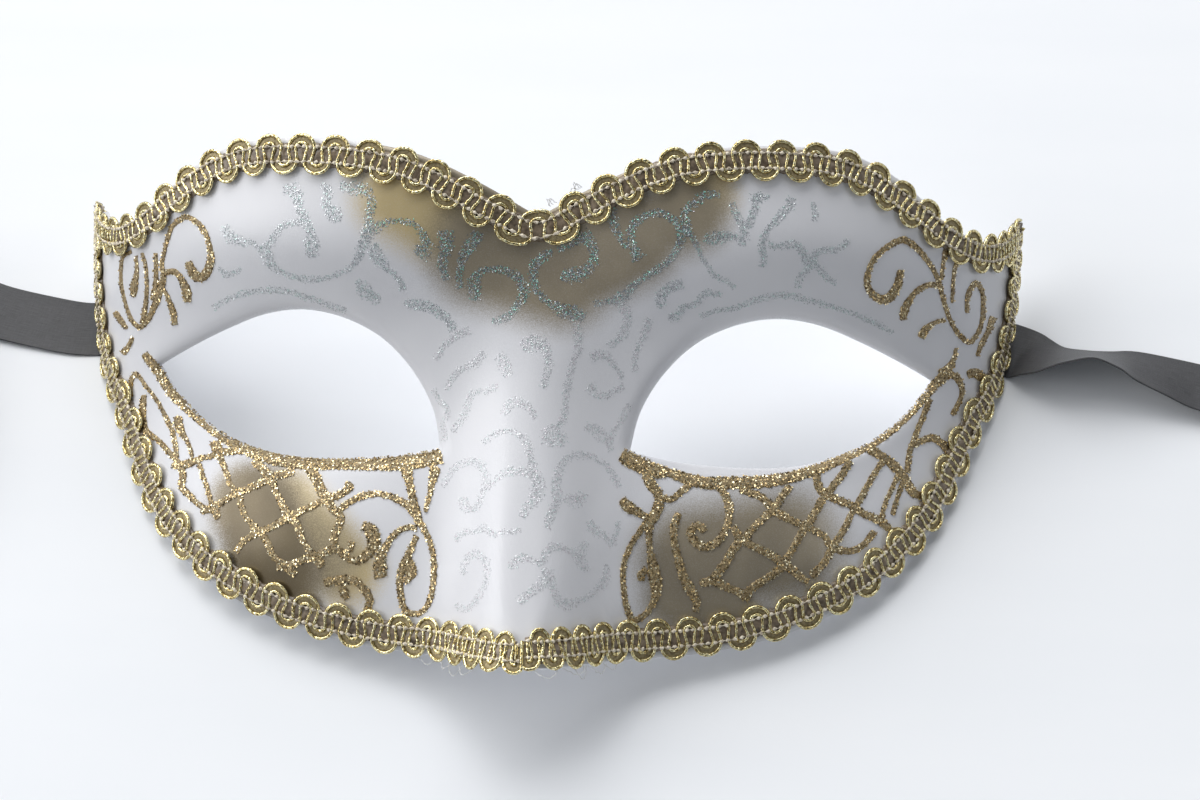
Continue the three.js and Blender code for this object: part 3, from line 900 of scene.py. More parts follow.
# %% Gold strokes, right side
RIGHT_GOLD = [
    # along the lower lid
    [(621, 455, 14), (638, 464, 17), (655, 471, 15), (669, 473, 10), (688, 479, 12), (707, 483, 13),
     (733, 483, 13), (762, 482, 13), (788, 478, 12), (810, 472, 11), (829, 465, 10), (850, 455, 10),
     (874, 442, 10), (895, 427, 10), (917, 405, 10), (933, 386, 11), (947, 374, 11)],
    # temple scroll
    [(901, 270, 7), (898, 283, 9), (892, 295, 10), (883, 300, 9), (873, 295, 8), (867, 283, 7),
     (869, 270, 6), (875, 258, 6), (887, 247, 6), (902, 240, 7), (913, 245, 7), (923, 255, 6),
     (932, 268, 5), (938, 280, 5), (943, 298, 5), (949, 317, 5), (957, 332, 5), (967, 342, 5),
     (974, 339, 5), (981, 325, 5), (983, 308, 5), (982, 292, 5), (976, 283, 6), (969, 292, 6),
     (967, 302, 5), (967, 313, 5)],
    [(946, 250, 7), (943, 265, 4), (941, 280, 5)],
    [(961, 257, 6), (955, 268, 5), (953, 285, 4), (952, 303, 4)],
    [(940, 286, 6), (928, 285, 6), (917, 291, 6), (909, 301, 8), (904, 312, 9), (903, 320, 6)],
    [(945, 320, 4), (934, 323, 5), (925, 330, 8), (921, 338, 8)],
    [(993, 317, 8), (988, 332, 6), (982, 343, 6), (977, 356, 4)],
    [(956, 348, 4), (954, 358, 5), (949, 368, 9), (940, 375, 11)],
    [(967, 375, 8), (975, 373, 11), (983, 378, 10)],
    # cheek, below the temple
    [(949, 374, 8), (957, 378, 8), (962, 389, 6), (960, 400, 5), (952, 415, 6)],
    [(930, 399, 6), (922, 419, 6), (914, 439, 6), (909, 455, 6), (907, 473, 6)],
    [(909, 447, 6), (919, 442, 7), (933, 438, 8), (944, 446, 8), (950, 456, 8)],
    [(869, 449, 11), (883, 457, 9), (895, 467, 10), (906, 480, 9), (912, 492, 10), (922, 496, 7)],
    [(900, 471, 6), (893, 486, 5), (885, 504, 5), (881, 522, 7)],
    [(903, 482, 6), (897, 499, 5), (892, 515, 5)],
    # lattice
    [(740, 489, 8), (762, 498, 8), (776, 512, 9), (791, 520, 7), (807, 527, 7), (824, 536, 7),
     (833, 548, 8), (852, 551, 7), (865, 543, 7), (874, 531, 7)],
    [(733, 527, 7), (741, 539, 9), (753, 546, 7), (767, 553, 8), (783, 563, 9), (797, 574, 8),
     (808, 582, 7)],
    [(700, 584, 8), (714, 581, 9), (728, 588, 8), (741, 593, 8), (750, 599, 8)],
    [(711, 582, 8), (719, 572, 9), (726, 562, 9), (735, 547, 9), (747, 536, 8), (757, 524, 7),
     (771, 512, 9), (781, 498, 8), (790, 486, 8)],
    [(741, 599, 8), (755, 586, 8), (769, 577, 8), (783, 565, 9), (793, 548, 7), (802, 532, 8),
     (814, 515, 8), (822, 500, 8), (831, 489, 8), (841, 476, 8), (850, 461, 7)],
    [(811, 576, 8), (824, 563, 8), (832, 548, 8), (843, 531, 7), (852, 513, 7), (862, 496, 7),
     (871, 479, 6), (883, 461, 7)],
    [(816, 474, 8), (820, 489, 9), (833, 498, 9), (850, 505, 8), (864, 514, 8), (880, 521, 9),
     (890, 530, 7)],
    # scrolls beside the nose
    [(646, 474, 12), (652, 486, 11), (659, 496, 10), (657, 511, 11), (650, 524, 9), (649, 537, 7),
     (650, 550, 6), (652, 562, 10), (655, 578, 13), (656, 594, 9), (650, 608, 7), (642, 617, 7),
     (633, 620, 7), (627, 609, 6), (624, 591, 6), (623, 570, 6), (628, 551, 6), (638, 534, 6),
     (647, 522, 8)],
    [(647, 569, 8), (641, 575, 8), (641, 581, 6)],
    [(622, 499, 8), (628, 507, 12), (639, 513, 8), (650, 519, 9)],
    [(661, 498, 8), (672, 499, 7), (682, 491, 7), (691, 483, 8)],
    [(679, 513, 8), (674, 527, 8), (674, 541, 7), (678, 558, 8), (682, 572, 9), (688, 586, 11),
     (696, 600, 8), (696, 612, 7)],
    [(712, 480, 9), (723, 492, 8), (729, 507, 9), (727, 526, 7), (719, 540, 8), (707, 547, 8),
     (696, 543, 9), (690, 532, 9), (699, 525, 8), (704, 532, 8)],
]
print("gold strokes, right side:", len(RIGHT_GOLD))

# %% [markdown]
# The iridescent strokes are given in the same way. On the brow they are loose scrolls that cross the
# airbrushed patches.

# %% Iridescent strokes, brow
BROW_SHIMMER = [
    [(283, 190, 9), (295, 190, 13), (298, 203, 9), (302, 212, 9), (305, 220, 10), (311, 232, 9),
     (312, 245, 13), (314, 257, 10)],
    [(305, 222, 6), (292, 223, 6), (282, 227, 7), (272, 240, 8), (266, 252, 12), (272, 265, 8),
     (284, 273, 5), (297, 278, 6), (311, 279, 7), (326, 278, 5), (340, 273, 5), (350, 267, 6),
     (357, 258, 8), (362, 247, 10), (366, 236, 12), (375, 228, 10), (389, 222, 6), (405, 221, 6),
     (417, 226, 6), (423, 236, 9), (426, 247, 15), (419, 257, 15)],
    [(225, 225, 8), (229, 236, 11), (243, 242, 8), (252, 242, 5), (262, 250, 6)],
    [(218, 268, 5), (228, 275, 6), (241, 269, 5)],
    [(213, 308, 6), (228, 299, 5), (241, 294, 6), (258, 291, 6), (272, 290, 7), (290, 292, 5),
     (305, 297, 7), (318, 301, 6), (335, 307, 6), (347, 310, 6)],
    [(321, 184, 5), (328, 190, 10), (326, 203, 8), (332, 212, 14), (338, 222, 7)],
    [(340, 185, 9), (352, 188, 12), (366, 190, 10), (372, 200, 8), (370, 212, 9), (368, 224, 9),
     (366, 234, 9)],
    [(372, 244, 9), (376, 255, 12), (382, 264, 9), (392, 272, 6), (400, 281, 6), (403, 290, 6)],
    [(357, 280, 6), (363, 287, 13), (368, 295, 12), (380, 301, 7)],
    [(404, 303, 6), (416, 305, 11), (430, 307, 10), (446, 318, 9), (454, 330, 8)],
    [(446, 230, 12), (446, 242, 14), (444, 256, 11), (442, 267, 8), (448, 280, 7)],
    [(479, 232, 10), (474, 241, 13), (466, 252, 11), (461, 263, 8), (459, 274, 7), (459, 289, 6)],
    [(477, 301, 7), (474, 290, 13), (474, 279, 11), (482, 271, 7), (496, 269, 6), (509, 272, 8),
     (520, 279, 9), (525, 289, 11), (521, 301, 8), (514, 310, 8), (505, 318, 7), (492, 322, 6)],
    [(553, 252, 6), (540, 259, 10), (533, 269, 9), (534, 281, 8), (538, 292, 8), (548, 302, 7),
     (560, 309, 12), (573, 313, 14), (585, 317, 9)],
    [(562, 273, 12), (571, 276, 15), (582, 273, 12), (591, 266, 9), (594, 255, 9), (591, 245, 10),
     (585, 235, 13), (578, 240, 9), (568, 244, 8), (558, 250, 6)],
    [(612, 207, 8), (612, 218, 10), (616, 229, 8), (621, 240, 6), (628, 247, 5)],
    [(639, 260, 13), (634, 249, 9), (630, 236, 8), (634, 224, 9), (646, 215, 7), (659, 213, 7),
     (673, 219, 8), (682, 231, 10), (678, 247, 8), (669, 260, 7), (655, 271, 7), (641, 280, 6),
     (629, 290, 9), (622, 298, 12), (609, 301, 6), (594, 304, 6)],
    [(686, 236, 7), (687, 222, 8), (684, 213, 8), (693, 204, 9), (706, 195, 8), (720, 194, 6)],
    [(687, 228, 6), (694, 240, 6), (700, 254, 5), (707, 265, 5), (715, 276, 5), (726, 281, 5),
     (735, 288, 5)],
    [(662, 308, 7), (660, 295, 11), (669, 288, 10), (683, 283, 10)],
    [(668, 318, 7), (678, 315, 8), (684, 307, 6), (694, 305, 6), (706, 293, 7), (722, 295, 5)],
    [(732, 202, 5), (735, 213, 7), (742, 225, 8), (744, 236, 9), (741, 246, 6)],
    [(704, 238, 8), (715, 239, 13), (728, 235, 9), (738, 237, 6)],
    [(768, 194, 6), (762, 198, 10), (753, 196, 9), (757, 206, 8), (752, 216, 9), (749, 228, 6)],
    [(786, 198, 5), (792, 203, 8), (783, 212, 8), (776, 221, 7), (768, 229, 6), (763, 238, 7),
     (762, 250, 7), (764, 258, 8), (761, 267, 6)],
    [(768, 244, 6), (780, 247, 7), (793, 244, 8), (802, 251, 8), (806, 260, 10), (809, 268, 7),
     (800, 278, 7), (797, 288, 6)],
    [(849, 240, 6), (838, 249, 6), (825, 250, 6), (816, 253, 8), (812, 262, 9), (820, 270, 6),
     (828, 279, 6), (836, 284, 6)],
    [(813, 202, 5), (815, 211, 6), (814, 221, 5)],
    [(700, 316, 5), (718, 310, 5), (735, 308, 6), (752, 301, 6), (768, 297, 6), (782, 295, 7),
     (797, 297, 6), (812, 301, 6), (828, 306, 6), (845, 311, 5), (860, 316, 6), (876, 324, 6),
     (893, 333, 5)],
]
print("iridescent strokes, brow:", len(BROW_SHIMMER))

# %% [markdown]
# On the nose they are paler, and are short scrolls and hooks.

# %% Iridescent strokes, nose
NOSE_SHIMMER = [
    [(521, 341, 9), (531, 344, 18), (541, 341, 12), (546, 351, 9), (549, 364, 8), (546, 376, 7),
     (542, 388, 9)],
    [(498, 354, 9), (504, 364, 12), (509, 376, 9)],
    [(576, 322, 8), (578, 336, 9), (578, 348, 8), (573, 362, 6), (569, 376, 7), (567, 387, 9),
     (566, 399, 6), (564, 414, 7), (561, 425, 8)],
    [(552, 424, 14), (554, 436, 22), (555, 447, 15)],
    [(505, 415, 9), (508, 405, 9), (520, 402, 9), (530, 409, 7), (535, 418, 5)],
    [(483, 444, 6), (490, 437, 6), (503, 431, 5), (516, 433, 6), (526, 441, 8), (530, 455, 8),
     (533, 469, 9), (538, 484, 14), (537, 496, 12), (528, 507, 9), (521, 517, 9)],
    [(487, 489, 6), (496, 480, 6), (507, 472, 8), (521, 471, 9), (532, 475, 8)],
    [(443, 487, 6), (452, 471, 7), (466, 462, 7), (480, 464, 9), (486, 476, 8), (482, 494, 7),
     (475, 509, 7), (465, 508, 10), (463, 497, 8)],
    [(521, 530, 6), (505, 532, 6), (492, 534, 6), (484, 527, 8), (475, 532, 5), (464, 532, 6),
     (455, 541, 7)],
    [(464, 575, 7), (464, 562, 8), (475, 554, 8), (486, 562, 7), (486, 580, 6), (478, 598, 7),
     (466, 609, 7), (455, 605, 6)],
    [(511, 569, 7), (518, 558, 9), (530, 559, 6), (542, 563, 7), (546, 551, 8), (557, 546, 8),
     (571, 551, 7), (580, 561, 9), (587, 571, 6)],
    [(586, 541, 7), (582, 549, 10), (580, 558, 8)],
    [(548, 568, 11), (544, 582, 10), (530, 593, 8), (518, 602, 11)],
    [(550, 576, 8), (554, 592, 8), (564, 605, 12), (580, 600, 6), (596, 591, 7), (606, 578, 9),
     (606, 564, 6)],
    [(546, 528, 9), (552, 512, 9), (557, 500, 9), (556, 485, 9), (559, 471, 9), (566, 460, 8),
     (578, 454, 8), (591, 457, 6), (605, 464, 6), (614, 477, 7), (618, 487, 6)],
    [(565, 496, 10), (577, 503, 12), (583, 492, 11)],
    [(589, 520, 8), (593, 530, 10), (604, 535, 7), (612, 545, 7), (616, 533, 6), (618, 521, 6)],
    [(433, 389, 6), (441, 402, 6), (448, 410, 5), (443, 426, 6), (446, 441, 6)],
    [(446, 390, 5), (455, 374, 7), (466, 367, 7), (476, 363, 9), (484, 352, 7)],
    [(452, 432, 7), (464, 416, 7), (471, 394, 6), (482, 392, 6), (498, 386, 6)],
    [(590, 357, 10), (606, 355, 9), (616, 368, 6), (623, 378, 6)],
    [(588, 386, 11), (602, 396, 7), (614, 391, 6), (624, 386, 6)],
    [(630, 404, 6), (621, 420, 6), (609, 440, 7), (611, 451, 6)],
    [(585, 425, 9), (598, 432, 12), (608, 441, 7)],
    [(470, 330, 8), (456, 336, 7), (444, 346, 7), (436, 360, 6)],
    [(620, 300, 10), (628, 318, 9), (622, 334, 9), (608, 346, 7)],
    [(650, 318, 8), (644, 334, 7), (636, 352, 6), (634, 372, 6)],
]
print("iridescent strokes, nose:", len(NOSE_SHIMMER))

# %% [markdown]
# A stroke is made of two pieces. The dried glue is a low bead with an uneven edge, and the glitter is
# thousands of small flakes in it, each tipped its own way, so that a few of them flash at a time. The
# gold strokes have both. The iridescent glue dries clear, so of those only the flakes are made.

# %% Glue beads
STROKE_STEP = 1.7
EDGE_ROUGHNESS = (0.82, 1.06)
END_NARROWING = 0.6
BEAD_HEIGHT = 0.22 * MM
BEAD_SECTION = [(-1, 0.0), (-0.7, 0.75), (0, 1.0), (0.7, 0.75), (1, 0.0)]
BEAD_UNEVENNESS = (0.8, 1.1)
BEAD_SINK = 0.05
BEAD_ROOT = -0.5
BEAD_SMOOTHING = 70
LARGEST_STEP = 2.5 * MM
random.seed(5)


def skin_under(px, py):
    """Where the line of sight through a pixel meets the shell, and the skin's normal there."""
    spot, normal, _, _ = shell_tree.ray_cast(CAMERA_PLACE, ray_through(px, py))
    return spot, normal


def stroke_rows(stroke):
    """A stroke's (x, y, half width, sideways x, sideways y) at short steps, in pixels."""
    path = []
    for i in range(len(stroke) - 1):
        steps = max(2, round(math.dist(stroke[i][:2], stroke[i + 1][:2]) / STROKE_STEP))
        path += [spline(stroke, i + k / steps) for k in range(steps)]
    path.append(stroke[-1])
    rows = []
    for i, (x, y, width) in enumerate(path):
        before, after = path[max(i - 1, 0)], path[min(i + 1, len(path) - 1)]
        run = math.dist(before[:2], after[:2]) or 1
        rows.append((x, y, width / 2, (before[1] - after[1]) / run, (after[0] - before[0]) / run))
    return rows


def bead_rings(rows):
    """Rings of points for a low bead of glue on the skin along a stroke's rows."""
    rings = []
    for i, (x, y, half, side_x, side_y) in enumerate(rows):
        middle, up = skin_under(x, y)
        if middle is None:
            continue
        half *= random.uniform(*EDGE_ROUGHNESS) * (END_NARROWING if i in (0, len(rows) - 1) else 1)
        ring = []
        for across, height in BEAD_SECTION:
            spot, normal = skin_under(x + side_x * half * across, y + side_y * half * across)
            if spot is None or (spot - middle).length > LARGEST_STEP:
                spot, normal = middle, up
            rise = height * random.uniform(*BEAD_UNEVENNESS) - BEAD_SINK
            ring.append(spot + normal * BEAD_HEIGHT * rise)
        ring.append(middle + up * BEAD_HEIGHT * BEAD_ROOT)
        rings.append(ring)
    return rings


def glue_beads(name, strokes):
    beads = [closed_strip(f"{name}_{i}", rings, BEAD_SMOOTHING)
             for i, rings in enumerate(bead_rings(stroke_rows(stroke)) for stroke in strokes)
             if len(rings) > 2]
    only(*beads)
    bpy.ops.object.join()
    joined = bpy.context.view_layer.objects.active
    joined.name = name
    return on_root(joined, "painted_shell")


gold_beads = glue_beads("gold_glitter_glue", LEFT_GOLD + RIGHT_GOLD)
print("gold glue:", len(gold_beads.data.polygons), "faces")

# %% [markdown]
# A flake is a flat three-sided chip, tipped at random, with a point below it that stands in the glue.
# How many a stroke has follows from its area. Each flake carries its own tint, and a clear one lets the
# white ground show through.

# %% Glitter flakes
FLAKE_SIZES = (0.75, 1.25)
FLAKE_TIPPING = 0.9
FLAKE_POINT = 0.3
GROUND_TINT = Vector((0.86, 0.87, 0.88))
GOLD_TINTS = [(0.68, 0.52, 0.28), (0.4, 0.29, 0.14), (0.92, 0.76, 0.44), (1.0, 0.92, 0.66),
              (0.24, 0.17, 0.09), (0.58, 0.43, 0.22)]
BROW_TINTS = [(0.42, 0.6, 0.58), (0.26, 0.32, 0.38), (0.92, 1.0, 0.97), (0.5, 0.56, 0.58),
              (0.36, 0.8, 0.66), (0.4, 0.39, 0.45), (0.2, 0.24, 0.26)]
NOSE_TINTS = [(0.82, 0.84, 0.84), (0.66, 0.82, 0.78), (0.9, 0.9, 0.9), (0.62, 0.63, 0.66),
              (0.84, 0.74, 0.8), (0.74, 0.75, 0.77)]


def flake(points, faces, spot, normal, size, lift):
    """Adds one flake, a flat three-sided chip tipped at random, with a point below it in the glue."""
    side = normal.orthogonal().normalized()
    other = normal.cross(side)
    turn, start = random.uniform(0, 2 * math.pi), len(points)
    radius = size * random.uniform(*FLAKE_SIZES)
    for k in range(3):
        angle = turn + k * 2 * math.pi / 3
        tip = lift + radius * random.uniform(0.0, FLAKE_TIPPING)
        points.append(spot + (side * math.cos(angle) + other * math.sin(angle)) * radius + normal * tip)
    points.append(spot - normal * FLAKE_POINT * radius)
    faces += [(start, start + 1, start + 2), (start + 1, start, start + 3),
              (start + 2, start + 1, start + 3), (start, start + 2, start + 3)]


def flakes(name, strokes, size, each, lift, tints, stray=0.0, clear=0.0):
    """Glitter along strokes: one flake of the given size for each so many square pixels.

    Stray is how far flakes lie outside the stroke, as a share of its width. Clear is how much of the
    white ground shows through a flake where there is no gold or bronze paint.
    """
    points, faces, colors = [], [], []
    for stroke in strokes:
        rows = stroke_rows(stroke)
        for (x0, y0, half, side_x, side_y), (x1, y1, _, _, _) in zip(rows, rows[1:]):
            wanted = math.dist((x0, y0), (x1, y1)) * 2 * half / each
            for _ in range(int(wanted + random.random())):
                t = random.random()
                across = (random.uniform(-1, 1) + random.triangular(-1, 1) * stray) * half
                x, y = x0 + (x1 - x0) * t + side_x * across, y0 + (y1 - y0) * t + side_y * across
                spot, normal = skin_under(x, y)
                if spot is None:
                    continue
                flake(points, faces, spot, normal, size, lift)
                painted = max(cover_at(passes, x, y) for passes in AIRBRUSH_PASSES.values())
                tint = Vector(random.choice(tints)).lerp(GROUND_TINT, clear * (1 - painted))
                colors += [*tint, 1.0] * 4
    piece = piece_from(name, points, faces)
    tint = piece.data.color_attributes.new(name="flake_tint", type="FLOAT_COLOR", domain="POINT")
    tint.data.foreach_set("color", colors)
    print(name, len(faces) // 4, "flakes")
    return on_root(piece, "painted_shell")


gold_flakes = flakes("gold_glitter", LEFT_GOLD + RIGHT_GOLD, size=0.2 * MM, each=2.2, lift=0.1 * MM,
                     tints=GOLD_TINTS)
brow_flakes = flakes("brow_glitter", BROW_SHIMMER, size=0.13 * MM, each=1.5, lift=0.0,
                     tints=BROW_TINTS, stray=0.5, clear=0.6)
nose_flakes = flakes("nose_glitter", NOSE_SHIMMER, size=0.11 * MM, each=1.5, lift=0.0,
                     tints=NOSE_TINTS, stray=0.5, clear=0.2)

# %% [markdown]
# The floor is a wide pale table top, a hair below the ribbons' flat undersides. It is not attached
# to the mask's root, so it isn't part of the object.

# %% Table
TABLE_SIZE = 3.0
TABLE_GAP = 0.05 * MM
bpy.ops.object.select_all(action="DESELECT")
bpy.ops.mesh.primitive_plane_add(size=TABLE_SIZE, location=(0, 0, -TABLE_GAP))
table = bpy.context.active_object
table.name = "table"
print("table:", TABLE_SIZE, "m wide")

# %% [markdown]
# Each finish is one Principled shader with procedural patterns wired into it. These helpers add a node,
# link two sockets, and make what comes back in most finishes: a noise, a colour ramp and a bump.

# %% Material helpers
def shader_of(material):
    return material.node_tree.nodes["Principled BSDF"]


def principled(name, color, roughness, **sockets):
    material = bpy.data.materials.new(name)
    material.use_nodes = True
    shader = shader_of(material)
    shader.inputs["Base Color"].default_value = (*color, 1)
    shader.inputs["Roughness"].default_value = roughness
    for socket, value in sockets.items():
        shader.inputs[socket].default_value = value
    return material


def add(material, kind, **settings):
    """A new node of a material, with its settings."""
    made = material.node_tree.nodes.new(kind)
    for name, value in settings.items():
        setattr(made, name, value)
    return made


def wire(material, source, target):
    material.node_tree.links.new(source, target)


def noise(material, scale, detail=3.0, stretch=None, uv=None):
    """Noise on the object's own metres, or on a UV map in millimetres."""
    texture = add(material, "ShaderNodeTexNoise")
    texture.inputs["Scale"].default_value = scale
    texture.inputs["Detail"].default_value = detail
    if uv:
        place = add(material, "ShaderNodeUVMap", uv_map=uv).outputs["UV"]
    else:
        place = add(material, "ShaderNodeTexCoord").outputs["Object"]
    if stretch:
        mapping = add(material, "ShaderNodeMapping")
        mapping.inputs["Scale"].default_value = stretch
        wire(material, place, mapping.inputs["Vector"])
        place = mapping.outputs["Vector"]
    wire(material, place, texture.inputs["Vector"])
    return texture.outputs["Fac"]


def ramp(material, source, stops):
    """A colour ramp over a value, from (place, colour) stops."""
    made = add(material, "ShaderNodeValToRGB")
    elements = made.color_ramp.elements
    while len(elements) < len(stops):
        elements.new(0.5)
    for element, (place, color) in zip(elements, stops):
        element.position = place
        element.color = (*color, 1)
    wire(material, source, made.inputs["Fac"])
    return made.outputs["Color"]


def arithmetic(material, operation, a, b, clamp=False):
    made = add(material, "ShaderNodeMath", operation=operation, use_clamp=clamp)
    for socket, value in zip(made.inputs, (a, b)):
        if isinstance(value, (int, float)):
            socket.default_value = value
        else:
            wire(material, value, socket)
    return made.outputs["Value"]


def bump(material, height, strength, distance):
    made = add(material, "ShaderNodeBump")
    made.inputs["Strength"].default_value = strength
    made.inputs["Distance"].default_value = distance
    wire(material, height, made.inputs["Height"])
    wire(material, made.outputs["Normal"], shader_of(material).inputs["Normal"])


def color_from(material, source, stops):
    """Takes the shader's colour from a ramp over a value."""
    wire(material, ramp(material, source, stops), shader_of(material).inputs["Base Color"])


def give(piece, material):
    piece.data.materials.clear()
    piece.data.materials.append(material)
    print(piece.name, "is finished in", material.name)


# %% [markdown]
# The table is a smooth white laminate. Only a faint cloudiness breaks its colour.

# %% Table laminate
laminate = principled("pale_laminate", (0.88, 0.9, 0.93), 0.55)
clouding = noise(laminate, 9, stretch=(1, 5, 1))
color_from(laminate, clouding, [(0.3, (0.87, 0.89, 0.92)), (0.7, (0.9, 0.915, 0.94))])
give(table, laminate)

# %% [markdown]
# The shell's paint is a semi-matt white, with gold, bronze and brown airbrushed over it, under a thin
# clear coat. At the edge of a patch the mist lands as separate fine specks, so a fine noise decides
# where the thin cover shows. The gold and the bronze hold metal flakes, so they are partly metallic.
# The inside is bare, glossier plastic.

# %% Shell paint
MIST_SPREAD = 1.15
MIST_SCATTER = 3.0
NOISE_MIDDLE = 0.5
METAL_SHARE = 0.35
PAINT_ROUGHNESS = 0.33
SPECK_ROUGHNESS = 0.1
BARE_GLOSS = 0.1
paint = principled("white_and_gold_paint", (0.78, 0.78, 0.81), 0.38)
shader_of(paint).inputs["Coat Weight"].default_value = 0.3
shader_of(paint).inputs["Coat Roughness"].default_value = 0.28
bare = add(paint, "ShaderNodeAttribute", attribute_name="bare_inside").outputs["Fac"]
speck = noise(paint, 5200, detail=1.0)


def airbrushed(material, under, cover_name, paint_color, grain):
    """Paint sprayed over a colour where an attribute says so, and how thickly it lies at each place."""
    cover = add(material, "ShaderNodeAttribute", attribute_name=cover_name).outputs["Fac"]
    room = arithmetic(material, "SUBTRACT", MIST_SPREAD, cover)
    thinness = arithmetic(material, "MULTIPLY", cover, room)
    unevenness = arithmetic(material, "SUBTRACT", grain, NOISE_MIDDLE)
    scatter = arithmetic(material, "MULTIPLY", thinness, unevenness)
    specks = arithmetic(material, "MULTIPLY", scatter, MIST_SCATTER)
    mist = arithmetic(material, "ADD", cover, specks, clamp=True)
    mixed = add(material, "ShaderNodeMix", data_type="RGBA")
    wire(material, mist, mixed.inputs["Factor"])
    wire(material, under, mixed.inputs["A"])
    wire(material, paint_color, mixed.inputs["B"])
    return mixed.outputs["Result"], mist


white = ramp(paint, noise(paint, 60), [(0.3, (0.76, 0.76, 0.79)), (0.7, (0.8, 0.8, 0.825))])
gold = ramp(paint, noise(paint, 130), [(0.3, (0.58, 0.46, 0.24)), (0.7, (0.7, 0.56, 0.3))])
bronze = ramp(paint, noise(paint, 130), [(0.3, (0.29, 0.245, 0.175)), (0.7, (0.37, 0.315, 0.225))])
brown = ramp(paint, noise(paint, 130), [(0.3, (0.13, 0.098, 0.05)), (0.7, (0.17, 0.13, 0.068))])
# The gold cover holds gold paint, and on the brow's left also a painted highlight.
gilded_and_highlit, gold_and_highlight_mist = airbrushed(paint, white, "gold_and_highlight_cover", gold, speck)
shaded, bronze_mist = airbrushed(paint, gilded_and_highlit, "bronze_cover", bronze, speck)
browned, _ = airbrushed(paint, shaded, "brown_cover", brown, speck)
wire(paint, browned, shader_of(paint).inputs["Base Color"])
metal = arithmetic(paint, "MAXIMUM", gold_and_highlight_mist, bronze_mist)
wire(paint, arithmetic(paint, "MULTIPLY", metal, METAL_SHARE), shader_of(paint).inputs["Metallic"])
rough = arithmetic(paint, "SUBTRACT", arithmetic(paint, "MULTIPLY", speck, SPECK_ROUGHNESS),
                   arithmetic(paint, "MULTIPLY", bare, BARE_GLOSS))
wire(paint, arithmetic(paint, "ADD", rough, PAINT_ROUGHNESS), shader_of(paint).inputs["Roughness"])
bump(paint, speck, strength=0.12, distance=0.06 * MM)
give(shell, paint)

# %% [markdown]
# The braid's gold cords are foil wound round a thread, so they flash in short pieces along their
# length. The bumps of the twist catch the light, and the colour, from pale cream to dark brown along
# the cord, paints glints and shade in as well. Between them lies a dull old-gold cotton, and the
# stitches are clear nylon, which looks cream.
# The glue is brownish where it lies in the braid, partly its own colour and partly painted shade
# between the strands, and milky where it was drawn into strings and dabs.

# %% Braid finishes
foil = principled("gold_foil_wire", (0.80, 0.66, 0.28), 0.22, Metallic=1.0)
twist_and_glint = noise(foil, 2300, detail=1.0)
# Painted glints and shade: pale cream and dark brown pieces along the cord.
color_from(foil, twist_and_glint, [(0.34, (0.28, 0.2, 0.08)), (0.48, (0.85, 0.7, 0.33)), (0.6, (1.0, 0.94, 0.6))])
bump(foil, twist_and_glint, strength=0.8, distance=0.25 * MM)
give(wires, foil)

cotton = principled("old_gold_cotton", (0.34, 0.27, 0.15), 0.5, Metallic=0.4)
fibres = noise(cotton, 2800)
color_from(cotton, fibres, [(0.3, (0.2, 0.155, 0.08)), (0.7, (0.5, 0.41, 0.23))])
bump(cotton, fibres, strength=0.5, distance=0.2 * MM)
give(core, cotton)

nylon = principled("clear_nylon", (0.62, 0.59, 0.53), 0.4)
knots = noise(nylon, 1500)
color_from(nylon, knots, [(0.35, (0.42, 0.35, 0.26)), (0.58, (0.95, 0.86, 0.7))])
give(threads, nylon)

# The band's brown is partly the glue's own colour and partly painted shade between the strands.
glue_and_shade_finish = principled("brownish_glue_and_painted_shade", (0.26, 0.22, 0.17), 0.2)
lumps = noise(glue_and_shade_finish, 900)
color_from(glue_and_shade_finish, lumps, [(0.3, (0.1, 0.073, 0.048)), (0.7, (0.34, 0.265, 0.185))])
bump(glue_and_shade_finish, lumps, strength=0.6, distance=0.3 * MM)
give(glue_and_shade_band, glue_and_shade_finish)

milky_glue = principled("milky_hot_glue", (0.72, 0.71, 0.68), 0.25)
cloud = noise(milky_glue, 700)
color_from(milky_glue, cloud, [(0.3, (0.6, 0.59, 0.56)), (0.7, (0.8, 0.79, 0.77))])
for piece in (glue_strings, *dabs):
    give(piece, milky_glue)

# %% [markdown]
# Glitter flakes are cut from coated foil, so they are metallic, and each takes its own tint from the
# attribute. The gold strokes' glue is brown between its flakes.

# %% Glitter finishes
for piece, name, metal in ((gold_flakes, "gold_flakes", 0.9), (brow_flakes, "brow_flakes", 0.45),
                           (nose_flakes, "nose_flakes", 0.25)):
    foil_chip = principled(name, (0.7, 0.7, 0.7), 0.22, Metallic=metal)
    wire(foil_chip, add(foil_chip, "ShaderNodeAttribute", attribute_name="flake_tint").outputs["Color"],
         shader_of(foil_chip).inputs["Base Color"])
    give(piece, foil_chip)

brown_glue = principled("brown_glitter_glue", (0.36, 0.24, 0.11), 0.5)
grains = noise(brown_glue, 2600)
color_from(brown_glue, grains, [(0.35, (0.19, 0.135, 0.07)), (0.65, (0.5, 0.38, 0.2))])
bump(brown_glue, grains, strength=0.6, distance=0.2 * MM)
give(gold_beads, brown_glue)

# %% [markdown]
# Satin shows its threads as fine lines along the ribbon, crossed by fainter ones, under a soft gloss.
# The pattern runs on the ribbon's own UV map, in millimetres. The glued ends are solids of the frame
# without such a map, so theirs runs on the object's own metres.

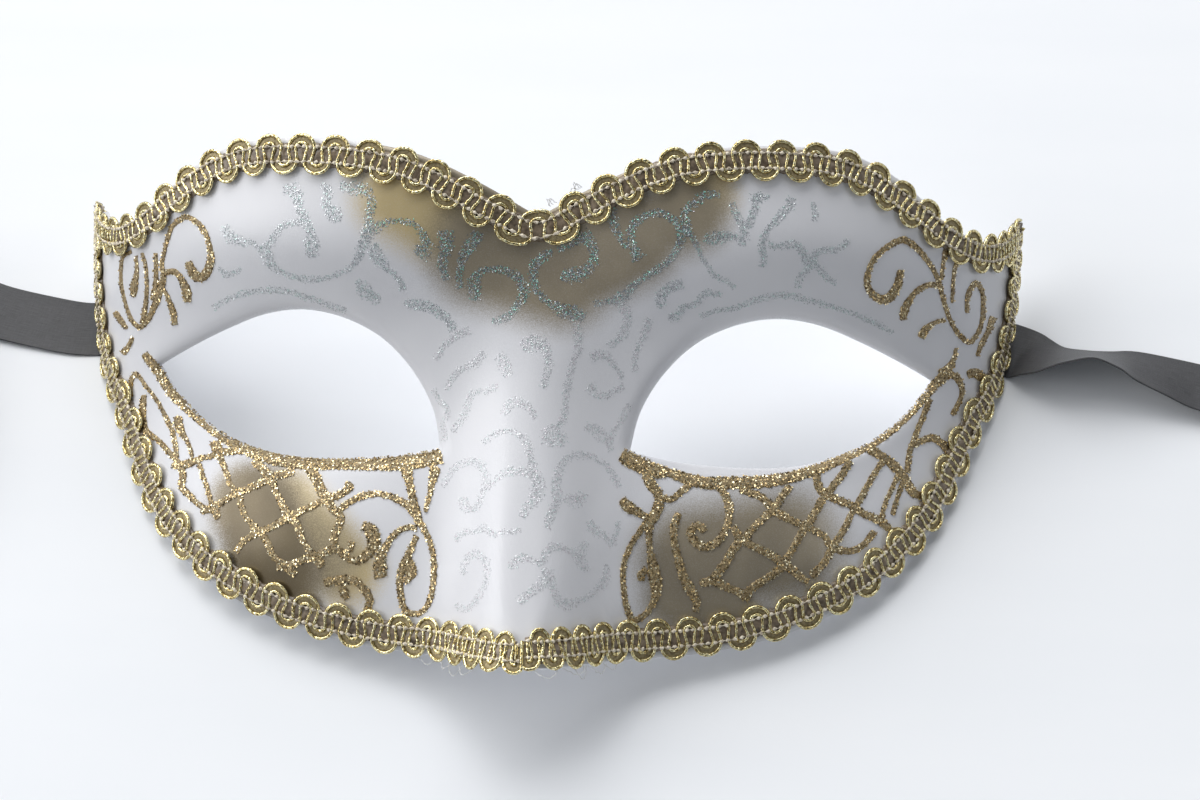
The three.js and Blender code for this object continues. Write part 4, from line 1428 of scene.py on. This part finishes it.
# %% Satin
WEFT_SHARE = 0.5
satin = principled("charcoal_satin", (0.07, 0.07, 0.074), 0.5)
shader_of(satin).inputs["Sheen Weight"].default_value = 0.1
shader_of(satin).inputs["Specular IOR Level"].default_value = 0.3
warp = noise(satin, 1.0, detail=2.0, stretch=(0.35, 7.0, 1), uv="weave")
weft = noise(satin, 1.0, detail=1.0, stretch=(6.0, 0.5, 1), uv="weave")
threads_seen = arithmetic(satin, "ADD", warp, arithmetic(satin, "MULTIPLY", weft, WEFT_SHARE))
color_from(satin, threads_seen, [(0.45, (0.038, 0.038, 0.041)), (0.95, (0.072, 0.072, 0.077))])
bump(satin, threads_seen, strength=0.35, distance=0.1 * MM)
for tie in ties.values():
    give(tie, satin)

end_satin = principled("charcoal_satin_end", (0.085, 0.085, 0.09), 0.45)
end_weave = noise(end_satin, 900, stretch=(0.3, 6, 1))
color_from(end_satin, end_weave, [(0.3, (0.06, 0.06, 0.064)), (0.7, (0.11, 0.11, 0.116))])
bump(end_satin, end_weave, strength=0.35, distance=0.1 * MM)
for side in TIES:
    give(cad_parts[f"ribbon_{side}_glued_end"], end_satin)

# %% [markdown]
# Soft studio light. Two large lamps stand high behind the mask, the brighter one on its left, and throw
# the soft shadow under the nose. A third lights the nose from the left, a weak one stands in front and
# another on the right, and the world fills what is left. All are far off, so that the table is evenly
# bright.

# %% Light
SKY_COLOR = (0.84, 0.91, 1.0, 1)
SKY_STRENGTH = 0.16
LIT_POINT = Vector((0, 0, 0))

world = bpy.data.worlds.new("studio")
world.use_nodes = True
sky = world.node_tree.nodes["Background"]
sky.inputs["Color"].default_value = SKY_COLOR
sky.inputs["Strength"].default_value = SKY_STRENGTH
bpy.context.scene.world = world


def lamp(name, place, size, power):
    """A round lamp at a place, so many metres wide and of so many watts, turned to the mask."""
    data = bpy.data.lights.new(name, "AREA")
    data.shape = "DISK"
    data.size = size
    data.energy = power
    light = bpy.data.objects.new(name, data)
    light.location = place
    light.rotation_euler = (LIT_POINT - Vector(place)).to_track_quat("-Z", "Y").to_euler()
    bpy.context.scene.collection.objects.link(light)
    print("lamp", name, "of", power, "W")


lamp("key", (-2.0, 2.4, 2.9), size=4.0, power=104)
lamp("back", (0, 3.1, 2.7), size=4.0, power=84)
lamp("left_fill", (-3.6, 0, 2.0), size=3.0, power=68)
lamp("front_fill", (-2.4, -2.4, 2.4), size=3.0, power=16)
lamp("right_fill", (3.6, 0, 2.0), size=3.0, power=18)
bpy.context.scene.view_settings.view_transform = "Standard"
